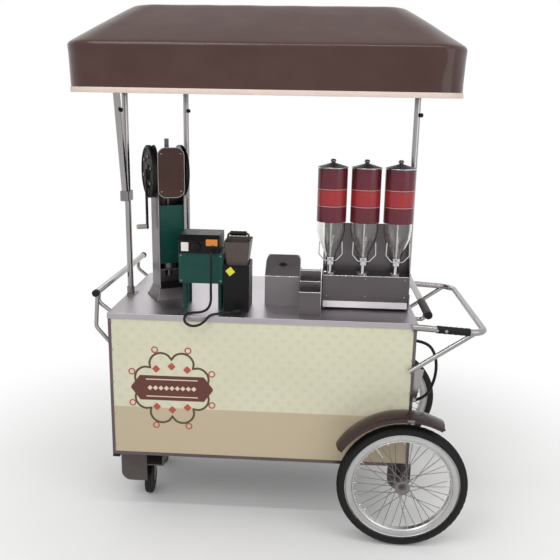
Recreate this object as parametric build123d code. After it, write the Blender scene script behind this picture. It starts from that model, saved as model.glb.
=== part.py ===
import os
from math import atan2, cos, degrees, pi, radians, sin, tan

from build123d import *

os.makedirs("parts", exist_ok=True)

# Street-food cart, millimetres. X runs along the counter, Y from the serving front to the
# operator side at the back, Z up from the ground. Lengths are named from the cabinet centre;
# X_SHIFT then moves everything so that the whole cart is centred on the origin.

# Cabinet
BODY_L = 1200.0
BODY_D = 700.0
TYRE_R = 254.0
BODY_BOTTOM = TYRE_R + 31.0
COUNTER_Z = BODY_BOTTOM + 600.0
COUNTER_T = 2.0
LIP_H = 22.0
TRIM_T = 1.5
TRIM_W = 12.0
RAIL_H = 13.0
PANEL_T = 2.5
FRAME_TUBE = 25.0
FLOOR_T = 2.0
CLEAR = 0.5
HALF_L = BODY_L / 2
HALF_D = BODY_D / 2

# Rear doors
DOOR_T = 16.0
DOOR_LEFT = -HALF_L + 25.0
DOOR_RIGHT = HALF_L - 375.0
DOOR_MEET = (DOOR_LEFT + DOOR_RIGHT) / 2
DOOR_GAP = 2.0
DOOR_Z0 = BODY_BOTTOM + 17.0
DOOR_Z1 = COUNTER_Z - 29.0
PIN_R = 4.0
PIN_FIT = 0.05
KNUCKLE_R = 7.0
KNUCKLE_H = 30.0
HINGE_LEVELS = (DOOR_Z0 + 78.0, DOOR_Z1 - 86.0)
DOOR_HANDLE_LEN = 130.0
DOOR_HANDLE_REACH = 32.0
DOOR_HANDLE_R = 5.0

# Large wheels
WHEEL_X = HALF_L - 34.0
WHEEL_Y = HALF_D + 90.0
TYRE_SECTION = 44.0
TYRE_WIDTH = 58.0
RIM_OUTER = TYRE_R - 26.0
RIM_INNER = TYRE_R - 66.0
RIM_WIDTH = 32.0
HUB_R = 16.0
HUB_LEN = 70.0
FLANGE_R = 29.0
SPOKES = 36
SPOKE_R = 1.3
AXLE_R = 8.0
AXLE_FIT = 0.06
AXLE_END = WHEEL_Y + 47.0
FENDER_R = TYRE_R + 54.0
FENDER_T = 3.0
FENDER_W = 92.0
FENDER_LIP = 15.0
FENDER_FROM = 62.0
FENDER_TO = 148.0

# Casters
CASTER_X = -HALF_L + 101.0
CASTER_Y = HALF_D - 211.0
CASTER_R = 62.5
CASTER_W = 28.0
CASTER_TRAIL = 30.0
CASTER_PLATE_Z = BODY_BOTTOM - 110.0
CASTER_PLATE_T = 6.0
CASTER_AXLE_R = 6.0
SWIVEL_R = 8.0
RUN_FIT = 0.05

# Push bars
BAR_R = 12.5
LEFT_BAR_X = -HALF_L - 45.0
LEFT_BAR_Z = COUNTER_Z + 75.0
LEFT_BAR_Y0 = -HALF_D + 5.0
LEFT_BAR_Y1 = HALF_D + 60.0
RAIL_X = HALF_L + 42.0
RAIL_Z = COUNTER_Z + 27.0
RAIL_R = 13.0
RAIL_HALF = HALF_D - 20.0
HANDLE_X = HALF_L + 257.5
HANDLE_Z = COUNTER_Z - 27.0
ARM_Y = HALF_D + 14.5
ARM_X0 = HALF_L - 22.0
ARM_Z0 = COUNTER_Z - 11.0
BRACE_Z0 = COUNTER_Z - 192.0
CAP_T = 4.0
CAP_R = 14.0

# Canopy
CANOPY_OVER_X = 110.0
CANOPY_OVER_Y = 60.0
CANOPY_HALF_X = HALF_L + CANOPY_OVER_X
CANOPY_HALF_Y = HALF_D + CANOPY_OVER_Y
CANOPY_CORNER = 110.0
HEM_Z = COUNTER_Z + 830.0
HEM_LIFT = 18.0
EAVE_Z = HEM_Z + 170.0
ROOF_Z = EAVE_Z + 155.0
SLOPE_RUN = 210.0
ROOF_HALF_X = CANOPY_HALF_X - SLOPE_RUN
ROOF_HALF_Y = CANOPY_HALF_Y - SLOPE_RUN
ROOF_CORNER = 70.0
COVER_T = 2.5
CANOPY_TUBE = 20.0
POST_R = 12.5
POST_X = HALF_L - 12.0
POST_Y = -HALF_D + 305.0
REAR_POST_X = -HALF_L + 190.0
REAR_POST_Y = HALF_D - 20.0
STRUT_R = 14.0

X_SHIFT = -(HANDLE_X + BAR_R - CANOPY_HALF_X) / 2

PANEL_X = HALF_L - TRIM_T
PANEL_Y = HALF_D - TRIM_T
FRAME_X = PANEL_X - PANEL_T
FRAME_Y = PANEL_Y - PANEL_T
SHEET_Z = COUNTER_Z - COUNTER_T


def block(x0, x1, y0, y1, z0, z1):
    return Pos((x0 + x1) / 2, (y0 + y1) / 2, (z0 + z1) / 2) * Box(x1 - x0, y1 - y0, z1 - z0)


def rod(p, q, radius):
    p = Vector(*p)
    q = Vector(*q)
    run = q - p
    return Plane(origin=p, z_dir=run) * Cylinder(
        radius, run.length, align=(Align.CENTER, Align.CENTER, Align.MIN)
    )


def pipe(points, radius, bend):
    line = FilletPolyline(*points, radius=bend)
    section = Plane(origin=line @ 0, z_dir=line % 0) * Circle(radius)
    return sweep(section, path=line)


def fuse(pieces):
    whole = pieces[0]
    for piece in pieces[1:]:
        whole = whole + piece
    return whole


def turned(points, centre):
    profile = make_face(Polyline(*[(r, 0, z) for r, z in points], close=True))
    return Pos(*centre) * revolve(profile, Axis.Z)


def save(name, shape):
    solids = [Pos(X_SHIFT, 0, 0) * solid for solid in shape.solids()]
    export_step(solids[0] if len(solids) == 1 else Compound(solids), f"parts/{name}.step")
    box = shape.bounding_box()
    print(f"{name:20s} solids {len(shape.solids()):2d}  volume {shape.volume / 1000:9.1f} cm3  "
          f"z {box.min.Z:7.1f} {box.max.Z:7.1f}")


# Welded frame: bottom ring, five uprights, top ring and two beams above the axle and casters
TUBE_X = FRAME_X - FRAME_TUBE
TUBE_Y = FRAME_Y - FRAME_TUBE
BASE_TOP = BODY_BOTTOM + FRAME_TUBE
JAMB_X = DOOR_RIGHT
CROSS_BEAMS = (CASTER_X + 69.0, WHEEL_X - 36.0)


def frame_ring(z0):
    outer = block(-FRAME_X, FRAME_X, -FRAME_Y, FRAME_Y, z0, z0 + FRAME_TUBE)
    return outer - block(-TUBE_X, TUBE_X, -TUBE_Y, TUBE_Y, z0 - 1, z0 + FRAME_TUBE + 1)


def upright(x0, y0):
    return block(x0, x0 + FRAME_TUBE, y0, y0 + FRAME_TUBE, BODY_BOTTOM, SHEET_Z)


frame = fuse(
    [frame_ring(BODY_BOTTOM), frame_ring(SHEET_Z - FRAME_TUBE)]
    + [upright(x, y) for x in (-FRAME_X, TUBE_X) for y in (-FRAME_Y, TUBE_Y)]
    + [upright(JAMB_X, TUBE_Y)]
    + [block(x, x + FRAME_TUBE, -TUBE_Y, TUBE_Y, BODY_BOTTOM, BASE_TOP) for x in CROSS_BEAMS]
)
save("base_frame", frame)

floor = block(-FRAME_X, FRAME_X, -FRAME_Y, FRAME_Y, BASE_TOP, BASE_TOP + FLOOR_T) - frame
save("cabinet_floor", floor)

front_panel = block(-PANEL_X, PANEL_X, -PANEL_Y, -FRAME_Y, BODY_BOTTOM, SHEET_Z)
save("front_panel", front_panel)

REAR_PANEL_X = JAMB_X + 15.0
side_panels = fuse([
    block(FRAME_X, PANEL_X, -FRAME_Y, FRAME_Y, BODY_BOTTOM, SHEET_Z),
    block(REAR_PANEL_X, PANEL_X, FRAME_Y, PANEL_Y, BODY_BOTTOM, SHEET_Z),
])
side_panels = side_panels + block(-PANEL_X, -FRAME_X, -FRAME_Y, PANEL_Y, BODY_BOTTOM, SHEET_Z)
save("side_panels", side_panels)


def corner_angle(sx, sy):
    outer = block(HALF_L - TRIM_W, HALF_L, HALF_D - TRIM_W, HALF_D, BODY_BOTTOM, SHEET_Z)
    inner = block(HALF_L - TRIM_W - 1, PANEL_X, HALF_D - TRIM_W - 1, PANEL_Y,
                  BODY_BOTTOM - 1, SHEET_Z + 1)
    angle = outer - inner
    if sx < 0:
        angle = mirror(angle, Plane.YZ)
    if sy < 0:
        angle = mirror(angle, Plane.XZ)
    return angle


INNER_L = HALF_L - TRIM_W
INNER_D = HALF_D - TRIM_W
RAIL_TOP = BODY_BOTTOM + RAIL_H
edge_trim = fuse(
    [corner_angle(sx, sy) for sx in (-1, 1) for sy in (-1, 1)]
    + [block(-INNER_L, INNER_L, -HALF_D, -PANEL_Y, BODY_BOTTOM, RAIL_TOP)]
    + [block(-HALF_L, -PANEL_X, -INNER_D, INNER_D, BODY_BOTTOM, RAIL_TOP)]
    + [block(PANEL_X, HALF_L, -INNER_D, INNER_D, BODY_BOTTOM, RAIL_TOP)]
    + [block(REAR_PANEL_X, INNER_L, PANEL_Y, HALF_D, BODY_BOTTOM, RAIL_TOP)]
)
save("edge_trim", edge_trim)

LIP_X = HALF_L + COUNTER_T
LIP_Y = HALF_D + COUNTER_T
counter = block(-LIP_X, LIP_X, -LIP_Y, LIP_Y, COUNTER_Z - LIP_H, COUNTER_Z)
counter = fillet(counter.faces().sort_by(Axis.Z)[-1].edges(), COUNTER_T * 0.9)
counter = counter - block(-HALF_L, HALF_L, -HALF_D, HALF_D, COUNTER_Z - LIP_H - 1, SHEET_Z)
save("counter_top", counter)

# Rear doors on pins at their outer edges
DOOR_Y0 = FRAME_Y + CLEAR
DOOR_Y1 = DOOR_Y0 + DOOR_T
PIN_Y = FRAME_Y + 10.0
PIN_LEFT = DOOR_LEFT - KNUCKLE_R
PIN_RIGHT = DOOR_RIGHT + KNUCKLE_R
BRACKET_H = 8.0


def door(x0, x1, pin_x, side):
    leaf = block(x0, x1, DOOR_Y0, DOOR_Y1, DOOR_Z0, DOOR_Z1)
    leaf = leaf - block(x0 + 28, x1 - 28, DOOR_Y1 - 3, DOOR_Y1 + 1, DOOR_Z0 + 28, DOOR_Z1 - 28)
    for level in HINGE_LEVELS:
        barrel = rod((pin_x, PIN_Y, level), (pin_x, PIN_Y, level + KNUCKLE_H), KNUCKLE_R - 0.5)
        tab = block(min(pin_x, pin_x + side * 12), max(pin_x, pin_x + side * 12),
                    PIN_Y, DOOR_Y1, level, level + KNUCKLE_H)
        bore = rod((pin_x, PIN_Y, level - 1), (pin_x, PIN_Y, level + KNUCKLE_H + 1), PIN_R + PIN_FIT)
        leaf = leaf + barrel + tab - bore
    return leaf


def hinge_pins(pin_x):
    pins = []
    for level in HINGE_LEVELS:
        top = level - CLEAR
        seat = rod((pin_x, PIN_Y, top - BRACKET_H), (pin_x, PIN_Y, top), KNUCKLE_R - 1)
        arm = block(pin_x - 3, pin_x + 3, FRAME_Y, PIN_Y - 2, top - BRACKET_H, top)
        pin = rod((pin_x, PIN_Y, top - BRACKET_H), (pin_x, PIN_Y, level + KNUCKLE_H + 2), PIN_R)
        pins.append(seat + arm + pin)
    return pins


save("rear_door_left", door(DOOR_LEFT, DOOR_MEET - DOOR_GAP / 2, PIN_LEFT, 1))
save("rear_door_right", door(DOOR_MEET + DOOR_GAP / 2, DOOR_RIGHT, PIN_RIGHT, -1))
save("door_hinge_pins", Compound(children=hinge_pins(PIN_LEFT) + hinge_pins(PIN_RIGHT)))

HANDLE_MID = (DOOR_Z0 + DOOR_Z1) / 2 + 80


def door_handle(x):
    low = HANDLE_MID - DOOR_HANDLE_LEN / 2
    high = HANDLE_MID + DOOR_HANDLE_LEN / 2
    out = DOOR_Y1 + DOOR_HANDLE_REACH
    return pipe([(x, DOOR_Y1, low), (x, out, low), (x, out, high), (x, DOOR_Y1, high)],
                DOOR_HANDLE_R, 12.0)


DOOR_HANDLE_IN = 14.0
save("door_handle_left", door_handle(DOOR_MEET - DOOR_GAP / 2 - DOOR_HANDLE_IN))
save("door_handle_right", door_handle(DOOR_MEET + DOOR_GAP / 2 + DOOR_HANDLE_IN))

# Large wheels on one axle; each is drawn about its own axis and then stood up at the front,
# and the rear one is its mirror image
TYRE_MID = TYRE_R - TYRE_SECTION / 2


def at_wheel(shape):
    return Pos(WHEEL_X, -WHEEL_Y, TYRE_R) * Rot(90, 0, 0) * shape


def to_rear(shape):
    return mirror(shape, Plane.XZ)


tyre = revolve(Plane.XZ * Pos(TYRE_MID, 0) * Ellipse(TYRE_SECTION / 2, TYRE_WIDTH / 2), Axis.Z)
tyre = at_wheel(tyre - Cylinder(RIM_OUTER, TYRE_WIDTH + 2))
save("front_tyre", tyre)
save("rear_tyre", to_rear(tyre))

RIM_HALF = RIM_WIDTH / 2
rim = at_wheel(turned([
    (RIM_INNER, -9.0), (RIM_INNER, 9.0), (RIM_INNER + 8, RIM_HALF), (RIM_OUTER, RIM_HALF),
    (RIM_OUTER, -RIM_HALF), (RIM_INNER + 8, -RIM_HALF),
], (0, 0, 0)))
save("front_rim", rim)
save("rear_rim", to_rear(rim))

HUB_BORE = AXLE_R + AXLE_FIT
HUB_HALF = HUB_LEN / 2
FLANGE_AT = 22.5
hub_body = turned([
    (HUB_BORE, -HUB_HALF), (HUB_R, -HUB_HALF), (HUB_R, -FLANGE_AT - 3), (FLANGE_R, -FLANGE_AT - 2),
    (FLANGE_R, -FLANGE_AT + 2), (HUB_R, -FLANGE_AT + 3), (HUB_R, FLANGE_AT - 3),
    (FLANGE_R, FLANGE_AT - 2), (FLANGE_R, FLANGE_AT + 2), (HUB_R, FLANGE_AT + 3),
    (HUB_R, HUB_HALF), (HUB_BORE, HUB_HALF),
], (0, 0, 0))
SPOKE_LEAN = 50.0
SPOKE_FOOT = FLANGE_R - 4
SPOKE_END = RIM_INNER - 0.2
spokes = []
for i in range(SPOKES):
    side = 1 if i % 2 else -1
    lean = SPOKE_LEAN if (i // 2) % 2 else -SPOKE_LEAN
    out = radians(360.0 / SPOKES * i)
    foot = radians(360.0 / SPOKES * i + lean)
    spokes.append(rod(
        (SPOKE_FOOT * cos(foot), SPOKE_FOOT * sin(foot), side * FLANGE_AT),
        (SPOKE_END * cos(out), SPOKE_END * sin(out), side * 3.0), SPOKE_R))
hub = at_wheel(hub_body + spokes)
save("front_hub", hub)
save("rear_hub", to_rear(hub))

HUB_INNER = WHEEL_Y - HUB_HALF
HUB_OUTER = WHEEL_Y + HUB_HALF


def along_axle(y0, y1, radius):
    return rod((WHEEL_X, y0, TYRE_R), (WHEEL_X, y1, TYRE_R), radius)


def axle_nut(y0, y1):
    nut = Plane(origin=(WHEEL_X, y0, TYRE_R), z_dir=(0, y1 - y0, 0)) * extrude(
        RegularPolygon(13.0, 6), abs(y1 - y0))
    return nut


axle = along_axle(-AXLE_END, AXLE_END, AXLE_R)
for sign in (-1, 1):
    axle = axle + along_axle(sign * (HUB_INNER - 8), sign * (HUB_INNER - CLEAR), 12.0)
    axle = axle + axle_nut(sign * (HUB_OUTER + CLEAR), sign * (HUB_OUTER + 8))
save("wheel_axle", axle)

BRACKET_Y = FRAME_Y - FRAME_TUBE / 2
BRACKET_T = 14.0
BRACKET_R = 46.0
BRACKET_Z = TYRE_R - 29.0


def axle_bracket(y):
    eye = rod((WHEEL_X, y - BRACKET_T / 2, BRACKET_Z), (WHEEL_X, y + BRACKET_T / 2, BRACKET_Z), BRACKET_R)
    web = block(WHEEL_X - BRACKET_R, WHEEL_X + BRACKET_R, y - BRACKET_T / 2, y + BRACKET_T / 2,
                BRACKET_Z, BODY_BOTTOM)
    plate = eye + web - block(WHEEL_X - BRACKET_R, WHEEL_X + BRACKET_R, y - BRACKET_T, y + BRACKET_T,
                              BODY_BOTTOM, BODY_BOTTOM + BRACKET_R)
    return plate - along_axle(y - BRACKET_T, y + BRACKET_T, AXLE_R + RUN_FIT)


save("axle_brackets", Compound(children=[axle_bracket(-BRACKET_Y), axle_bracket(BRACKET_Y)]))

FENDER_EDGE = FENDER_R - 10.0
FENDER_HALF = FENDER_W / 2


def fender_strip():
    outer = ThreePointArc((FENDER_EDGE, -FENDER_HALF), (FENDER_R, 0), (FENDER_EDGE, FENDER_HALF))
    inner = ThreePointArc((FENDER_EDGE - FENDER_T, FENDER_HALF - FENDER_T), (FENDER_R - FENDER_T, 0),
                          (FENDER_EDGE - FENDER_T, -FENDER_HALF))
    lip = Polyline(outer @ 1, (FENDER_EDGE - FENDER_LIP, FENDER_HALF),
                   (FENDER_EDGE - FENDER_LIP, FENDER_HALF - FENDER_T), inner @ 0)
    near = Line(inner @ 1, outer @ 0)
    strip = Plane.XZ * make_face([outer, lip, inner, near])
    arc = revolve(strip, Axis.Z, revolution_arc=FENDER_TO - FENDER_FROM)
    curl = rod((FENDER_EDGE - FENDER_T, 0, -FENDER_HALF), (FENDER_EDGE - FENDER_T, 0, FENDER_HALF), 5.0)
    return Rot(0, 0, FENDER_FROM) * (arc + curl)


fender = at_wheel(fender_strip())
save("fenders", Compound(children=[fender, to_rear(fender)]))

# Each stay leans down from the fender's inner edge to the cabinet's side
STAY_T = 3.0
STAY_HALF = 10.0
STAY_R = FENDER_EDGE - FENDER_T - 0.2
STAY_LOW = STAY_R - 34.0
STAY_WALL = -(WHEEL_Y - PANEL_Y)
STAY_KNEE = -FENDER_HALF + 22.0
stays = []
for angle in (100.0, 138.0):
    side = Plane.XZ.offset(-STAY_HALF) * make_face(Polyline(
        (STAY_R, STAY_KNEE), (STAY_R, -FENDER_HALF), (STAY_LOW, STAY_WALL), (STAY_LOW - STAY_T, STAY_WALL),
        (STAY_R - STAY_T, -FENDER_HALF - 1), (STAY_R - STAY_T, STAY_KNEE), close=True))
    stays.append(at_wheel(Rot(0, 0, angle) * extrude(side, 2 * STAY_HALF)))
    stays.append(to_rear(stays[-1]))
save("fender_stays", Compound(children=stays))

# Casters: a sheet bracket under each left corner carries a swivelling fork and its wheel
LEG_PLATE_Y = -HALF_D + 115.0
LEG_PLATE_T = 4.0
LEG_PLATE_X0 = -HALF_L
LEG_PLATE_X1 = CASTER_X + 9.0
LEG_PLATE_Z = CASTER_PLATE_Z - 70.0
SWIVEL_Y = -CASTER_Y + CASTER_TRAIL
RIB_X0 = -FRAME_X
RIB_X1 = CASTER_X + 78.0
RIB_Y = SWIVEL_Y + 49.0
RIB_T = 4.0
PLATE_TOP = CASTER_PLATE_Z + CASTER_PLATE_T
LEG_BACK = LEG_PLATE_Y + LEG_PLATE_T / 2

leg_plate = block(LEG_PLATE_X0, LEG_PLATE_X1, LEG_PLATE_Y - LEG_PLATE_T / 2, LEG_BACK,
                  LEG_PLATE_Z, BODY_BOTTOM)
low_corner = leg_plate.edges().filter_by(Axis.Y).sort_by(lambda e: e.center().X + e.center().Z)[0]
leg_plate = fillet(low_corner, 40.0)
bracket = fuse([
    leg_plate,
    block(RIB_X0, RIB_X1, LEG_BACK, RIB_Y, CASTER_PLATE_Z, PLATE_TOP),
    block(RIB_X0, RIB_X0 + RIB_T, LEG_BACK, RIB_Y, PLATE_TOP, BODY_BOTTOM),
    block(RIB_X1 - RIB_T, RIB_X1, LEG_BACK, RIB_Y, PLATE_TOP, BODY_BOTTOM),
])
bracket = bracket - rod((CASTER_X, SWIVEL_Y, CASTER_PLATE_Z - 1), (CASTER_X, SWIVEL_Y, PLATE_TOP + 1),
                        SWIVEL_R + RUN_FIT)
save("caster_plates", Compound(children=[bracket, to_rear(bracket)]))

CROWN_TOP = CASTER_PLATE_Z - CLEAR
CROWN_T = 12.0
CROWN_HALF = 22.0
FORK_GAP = 1.5
FORK_T = 4.0
FORK_IN = CASTER_W / 2 + FORK_GAP
FORK_OUT = FORK_IN + FORK_T


def fork_leg(x0):
    side = Plane(origin=(x0, 0, 0), x_dir=(0, 1, 0), z_dir=(1, 0, 0)) * make_face(Polyline(
        (SWIVEL_Y - CROWN_HALF, CROWN_TOP - 2), (SWIVEL_Y + CROWN_HALF, CROWN_TOP - 2),
        (-CASTER_Y + 12, CASTER_R), (-CASTER_Y - 12, CASTER_R), close=True))
    return extrude(side, FORK_T) + rod((x0, -CASTER_Y, CASTER_R), (x0 + FORK_T, -CASTER_Y, CASTER_R), 12.0)


fork = fuse([
    block(CASTER_X - FORK_OUT, CASTER_X + FORK_OUT, SWIVEL_Y - CROWN_HALF, SWIVEL_Y + CROWN_HALF,
          CROWN_TOP - CROWN_T, CROWN_TOP),
    fork_leg(CASTER_X - FORK_OUT),
    fork_leg(CASTER_X + FORK_IN),
    rod((CASTER_X - FORK_OUT - 4, -CASTER_Y, CASTER_R), (CASTER_X + FORK_OUT + 4, -CASTER_Y, CASTER_R),
        CASTER_AXLE_R),
    rod((CASTER_X - FORK_OUT - 4, -CASTER_Y, CASTER_R), (CASTER_X - FORK_OUT, -CASTER_Y, CASTER_R), 9.0),
    rod((CASTER_X + FORK_OUT, -CASTER_Y, CASTER_R), (CASTER_X + FORK_OUT + 4, -CASTER_Y, CASTER_R), 9.0),
    rod((CASTER_X, SWIVEL_Y, CROWN_TOP - 1), (CASTER_X, SWIVEL_Y, PLATE_TOP + 16), SWIVEL_R),
    rod((CASTER_X, SWIVEL_Y, PLATE_TOP + 1), (CASTER_X, SWIVEL_Y, PLATE_TOP + 11), 14.0),
])
save("caster_fork_front", fork)
save("caster_fork_rear", to_rear(fork))

caster_wheel = Cylinder(CASTER_R, CASTER_W)
caster_wheel = fillet(caster_wheel.edges(), 6.0) - Cylinder(CASTER_AXLE_R + RUN_FIT, CASTER_W + 2)
caster_wheel = Pos(CASTER_X, -CASTER_Y, CASTER_R) * Rot(0, 90, 0) * caster_wheel
save("caster_wheel_front", caster_wheel)
save("caster_wheel_rear", to_rear(caster_wheel))

# Push bars: a bar on the left end, a low rail on the right end and one bent handle beyond it
HANDLE_BEND = 60.0
left_bar = rod((LEFT_BAR_X, LEFT_BAR_Y0, LEFT_BAR_Z), (LEFT_BAR_X, LEFT_BAR_Y1, LEFT_BAR_Z), BAR_R)
right_rail = rod((RAIL_X, -RAIL_HALF, RAIL_Z), (RAIL_X, RAIL_HALF, RAIL_Z), RAIL_R)
handle = pipe([(ARM_X0, -ARM_Y, ARM_Z0), (HANDLE_X, -ARM_Y, HANDLE_Z),
               (HANDLE_X, ARM_Y, HANDLE_Z), (ARM_X0, ARM_Y, ARM_Z0)], BAR_R, HANDLE_BEND)
save("push_bars", Compound(children=[left_bar, right_rail, handle]))

ARM_R = 8.0
BRACE_R = 9.5
BRACE_Y = PANEL_Y + 3.5 + BRACE_R
TAB_T = 3.5
BOLT_R = 6.0
left_sheet = block(-PANEL_X, -FRAME_X + 20, -HALF_D, HALF_D, BODY_BOTTOM, SHEET_Z)
right_sheet = block(FRAME_X - 20, PANEL_X, -HALF_D, HALF_D, BODY_BOTTOM, SHEET_Z)


def left_arm(y, z_foot, z_knee, x_knee):
    path = [(-HALF_L + 6, y, z_foot), (x_knee, y, z_knee), (LEFT_BAR_X, y, LEFT_BAR_Z)]
    return pipe(path, ARM_R, 30.0) - counter - edge_trim - left_sheet - left_bar


def rail_arm(y):
    path = [(HALF_L - 6, y, ARM_Z0), (RAIL_X - 4, y, ARM_Z0), (RAIL_X, y, RAIL_Z)]
    return pipe(path, ARM_R, 14.0) - counter - edge_trim - right_sheet - right_rail


def handle_brace(sign):
    end = HANDLE_X - 40
    along = (end - ARM_X0) / (HANDLE_X - ARM_X0)
    z_end = ARM_Z0 + (HANDLE_Z - ARM_Z0) * along
    tube = rod((ARM_X0, -BRACE_Y, BRACE_Z0), (end, -ARM_Y, z_end), BRACE_R) - handle
    tab = block(ARM_X0 - 18, ARM_X0 + 9, -PANEL_Y - TAB_T, -PANEL_Y, BRACE_Z0 - 20, BRACE_Z0 + 20)
    piece = tube - tab + tab
    return piece if sign < 0 else to_rear(piece)


def arm_bolt(x, sign):
    z = ARM_Z0 + (HANDLE_Z - ARM_Z0) * (x - ARM_X0) / (HANDLE_X - ARM_X0)
    front = -ARM_Y - BAR_R
    bolt = rod((x, front - 4, z), (x, front + 3, z), BOLT_R) - handle
    return bolt if sign < 0 else to_rear(bolt)


GUSSET_TOP = COUNTER_Z - 185.0
GUSSET_LOW = GUSSET_TOP - 145.0
gusset = extrude(Plane.XZ.offset(HALF_D - 24.0) * make_face(Polyline(
    (PANEL_X, GUSSET_TOP), (PANEL_X + 41.5, GUSSET_TOP - 10), (PANEL_X + 16.5, GUSSET_LOW + 5),
    (PANEL_X, GUSSET_LOW), close=True)), 3.0)
LEFT_FOOT_Z = COUNTER_Z - 13.0
LEFT_KNEE_Z = COUNTER_Z + 31.0
RAIL_ARM_Y = RAIL_HALF - 80.0
arms = [
    left_arm(LEFT_BAR_Y0 + 45, LEFT_FOOT_Z, LEFT_KNEE_Z, LEFT_BAR_X - 5),
    left_arm(LEFT_BAR_Y1 - 101, LEFT_FOOT_Z, LEFT_KNEE_Z, LEFT_BAR_X - 3),
    left_arm(LEFT_BAR_Y0 + 25, LEFT_FOOT_Z - 127, LEFT_KNEE_Z - 98, LEFT_BAR_X - 11),
    rail_arm(-RAIL_ARM_Y),
    rail_arm(RAIL_ARM_Y),
    handle_brace(-1),
    handle_brace(1),
    gusset,
]
for x in (ARM_X0 + 92.0, ARM_X0 + 127.0):
    arms.append(arm_bolt(x, -1))
    arms.append(arm_bolt(x, 1))
save("bar_arms", Compound(children=[arm.solids().sort_by(SortBy.VOLUME)[-1] for arm in arms]))


def end_cap(x, y, z, radius, sign):
    cap = rod((x, y - sign * 14, z), (x, y + sign * CAP_T, z), radius + 1.5)
    cap = fillet(cap.edges().sort_by(Axis.Y)[-1 if sign > 0 else 0], 3.0)
    return cap - rod((x, y - sign * 20, z), (x, y, z), radius)


PAD_T = 12.0
caps = [
    end_cap(LEFT_BAR_X, LEFT_BAR_Y0, LEFT_BAR_Z, BAR_R, -1),
    end_cap(LEFT_BAR_X, LEFT_BAR_Y1, LEFT_BAR_Z, BAR_R, 1),
    end_cap(RAIL_X, -RAIL_HALF, RAIL_Z, RAIL_R, -1),
    end_cap(RAIL_X, RAIL_HALF, RAIL_Z, RAIL_R, 1),
    block(-HALF_L, -HALF_L + 28, -HALF_D, -HALF_D + 20, BODY_BOTTOM - PAD_T, BODY_BOTTOM),
    block(-HALF_L, -HALF_L + 28, HALF_D - 20, HALF_D, BODY_BOTTOM - PAD_T, BODY_BOTTOM),
]
save("bar_end_caps", Compound(children=caps))

# Canopy posts, their fittings and the tube frame under the cover
BEAM_Z0 = EAVE_Z - CANOPY_TUBE
CLAMP_Z = COUNTER_Z + 425.0
CLAMP_HALF = 20.0
STRUT_FOOT_Y = POST_Y - POST_R - STRUT_R - 4
STRUT_TOP_Y = POST_Y - 145
FLANGE_T = 4.0
SOCKET_H = 32.0


def post(x, y):
    return rod((x, y, COUNTER_Z), (x, y, BEAM_Z0), POST_R)


posts = [post(-POST_X, POST_Y), post(POST_X, POST_Y), post(REAR_POST_X, REAR_POST_Y)]
strut = rod((-POST_X, STRUT_FOOT_Y, CLAMP_Z - CLAMP_HALF), (-POST_X, STRUT_TOP_Y, BEAM_Z0 + 10), STRUT_R)
strut = strut - block(-POST_X - 40, -POST_X + 40, STRUT_TOP_Y - 60, STRUT_TOP_Y + 60, BEAM_Z0, BEAM_Z0 + 60)
save("canopy_posts", Compound(children=posts + [strut]))


def post_foot(x, y, x0, x1, y0, y1):
    plate = block(x0, x1, y0, y1, COUNTER_Z, COUNTER_Z + FLANGE_T)
    socket = rod((x, y, COUNTER_Z), (x, y, COUNTER_Z + SOCKET_H), POST_R + 3.5)
    return plate + socket - rod((x, y, COUNTER_Z - 1), (x, y, COUNTER_Z + SOCKET_H + 1), POST_R)


FOOT_HALF = 26.0
clamp = block(-POST_X - 19, -POST_X + 19, STRUT_FOOT_Y - 24, POST_Y + 20,
              CLAMP_Z - CLAMP_HALF, CLAMP_Z + CLAMP_HALF)
clamp = fillet(clamp.edges().filter_by(Axis.Z), 10.0) - posts[0] - strut
feet = [
    post_foot(-POST_X, POST_Y, -LIP_X + 2, -POST_X + FOOT_HALF, POST_Y - FOOT_HALF, POST_Y + FOOT_HALF),
    post_foot(POST_X, POST_Y, POST_X - FOOT_HALF, LIP_X - 2, POST_Y - FOOT_HALF, POST_Y + FOOT_HALF),
    post_foot(REAR_POST_X, REAR_POST_Y, REAR_POST_X - FOOT_HALF, REAR_POST_X + FOOT_HALF,
              REAR_POST_Y - FOOT_HALF, LIP_Y - 2),
]
save("post_fittings", Compound(children=feet + clamp.solids()))


def rounded(half_x, half_y, radius, z):
    return Plane.XY.offset(z) * RectangleRounded(2 * half_x, 2 * half_y, radius)


def canopy_form(inset, z_low):
    skirt = extrude(rounded(CANOPY_HALF_X - inset, CANOPY_HALF_Y - inset, CANOPY_CORNER - inset, z_low),
                    EAVE_Z - z_low)
    roof = loft([
        rounded(CANOPY_HALF_X - inset, CANOPY_HALF_Y - inset, CANOPY_CORNER - inset, EAVE_Z),
        rounded(ROOF_HALF_X - inset, ROOF_HALF_Y - inset, ROOF_CORNER - inset, ROOF_Z - inset),
    ])
    return skirt + roof


# the hem rises towards the rear
hem_side = Plane(origin=(-CANOPY_HALF_X - 1, 0, 0), x_dir=(0, 1, 0), z_dir=(1, 0, 0)) * make_face(Polyline(
    (-CANOPY_HALF_Y, HEM_Z), (CANOPY_HALF_Y, HEM_Z + HEM_LIFT), (CANOPY_HALF_Y, HEM_Z - 1), close=True))
cover = canopy_form(0.0, HEM_Z) - canopy_form(COVER_T, HEM_Z - 10)
cover = cover - extrude(hem_side, 2 * CANOPY_HALF_X + 2)
save("canopy_cover", cover)

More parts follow.
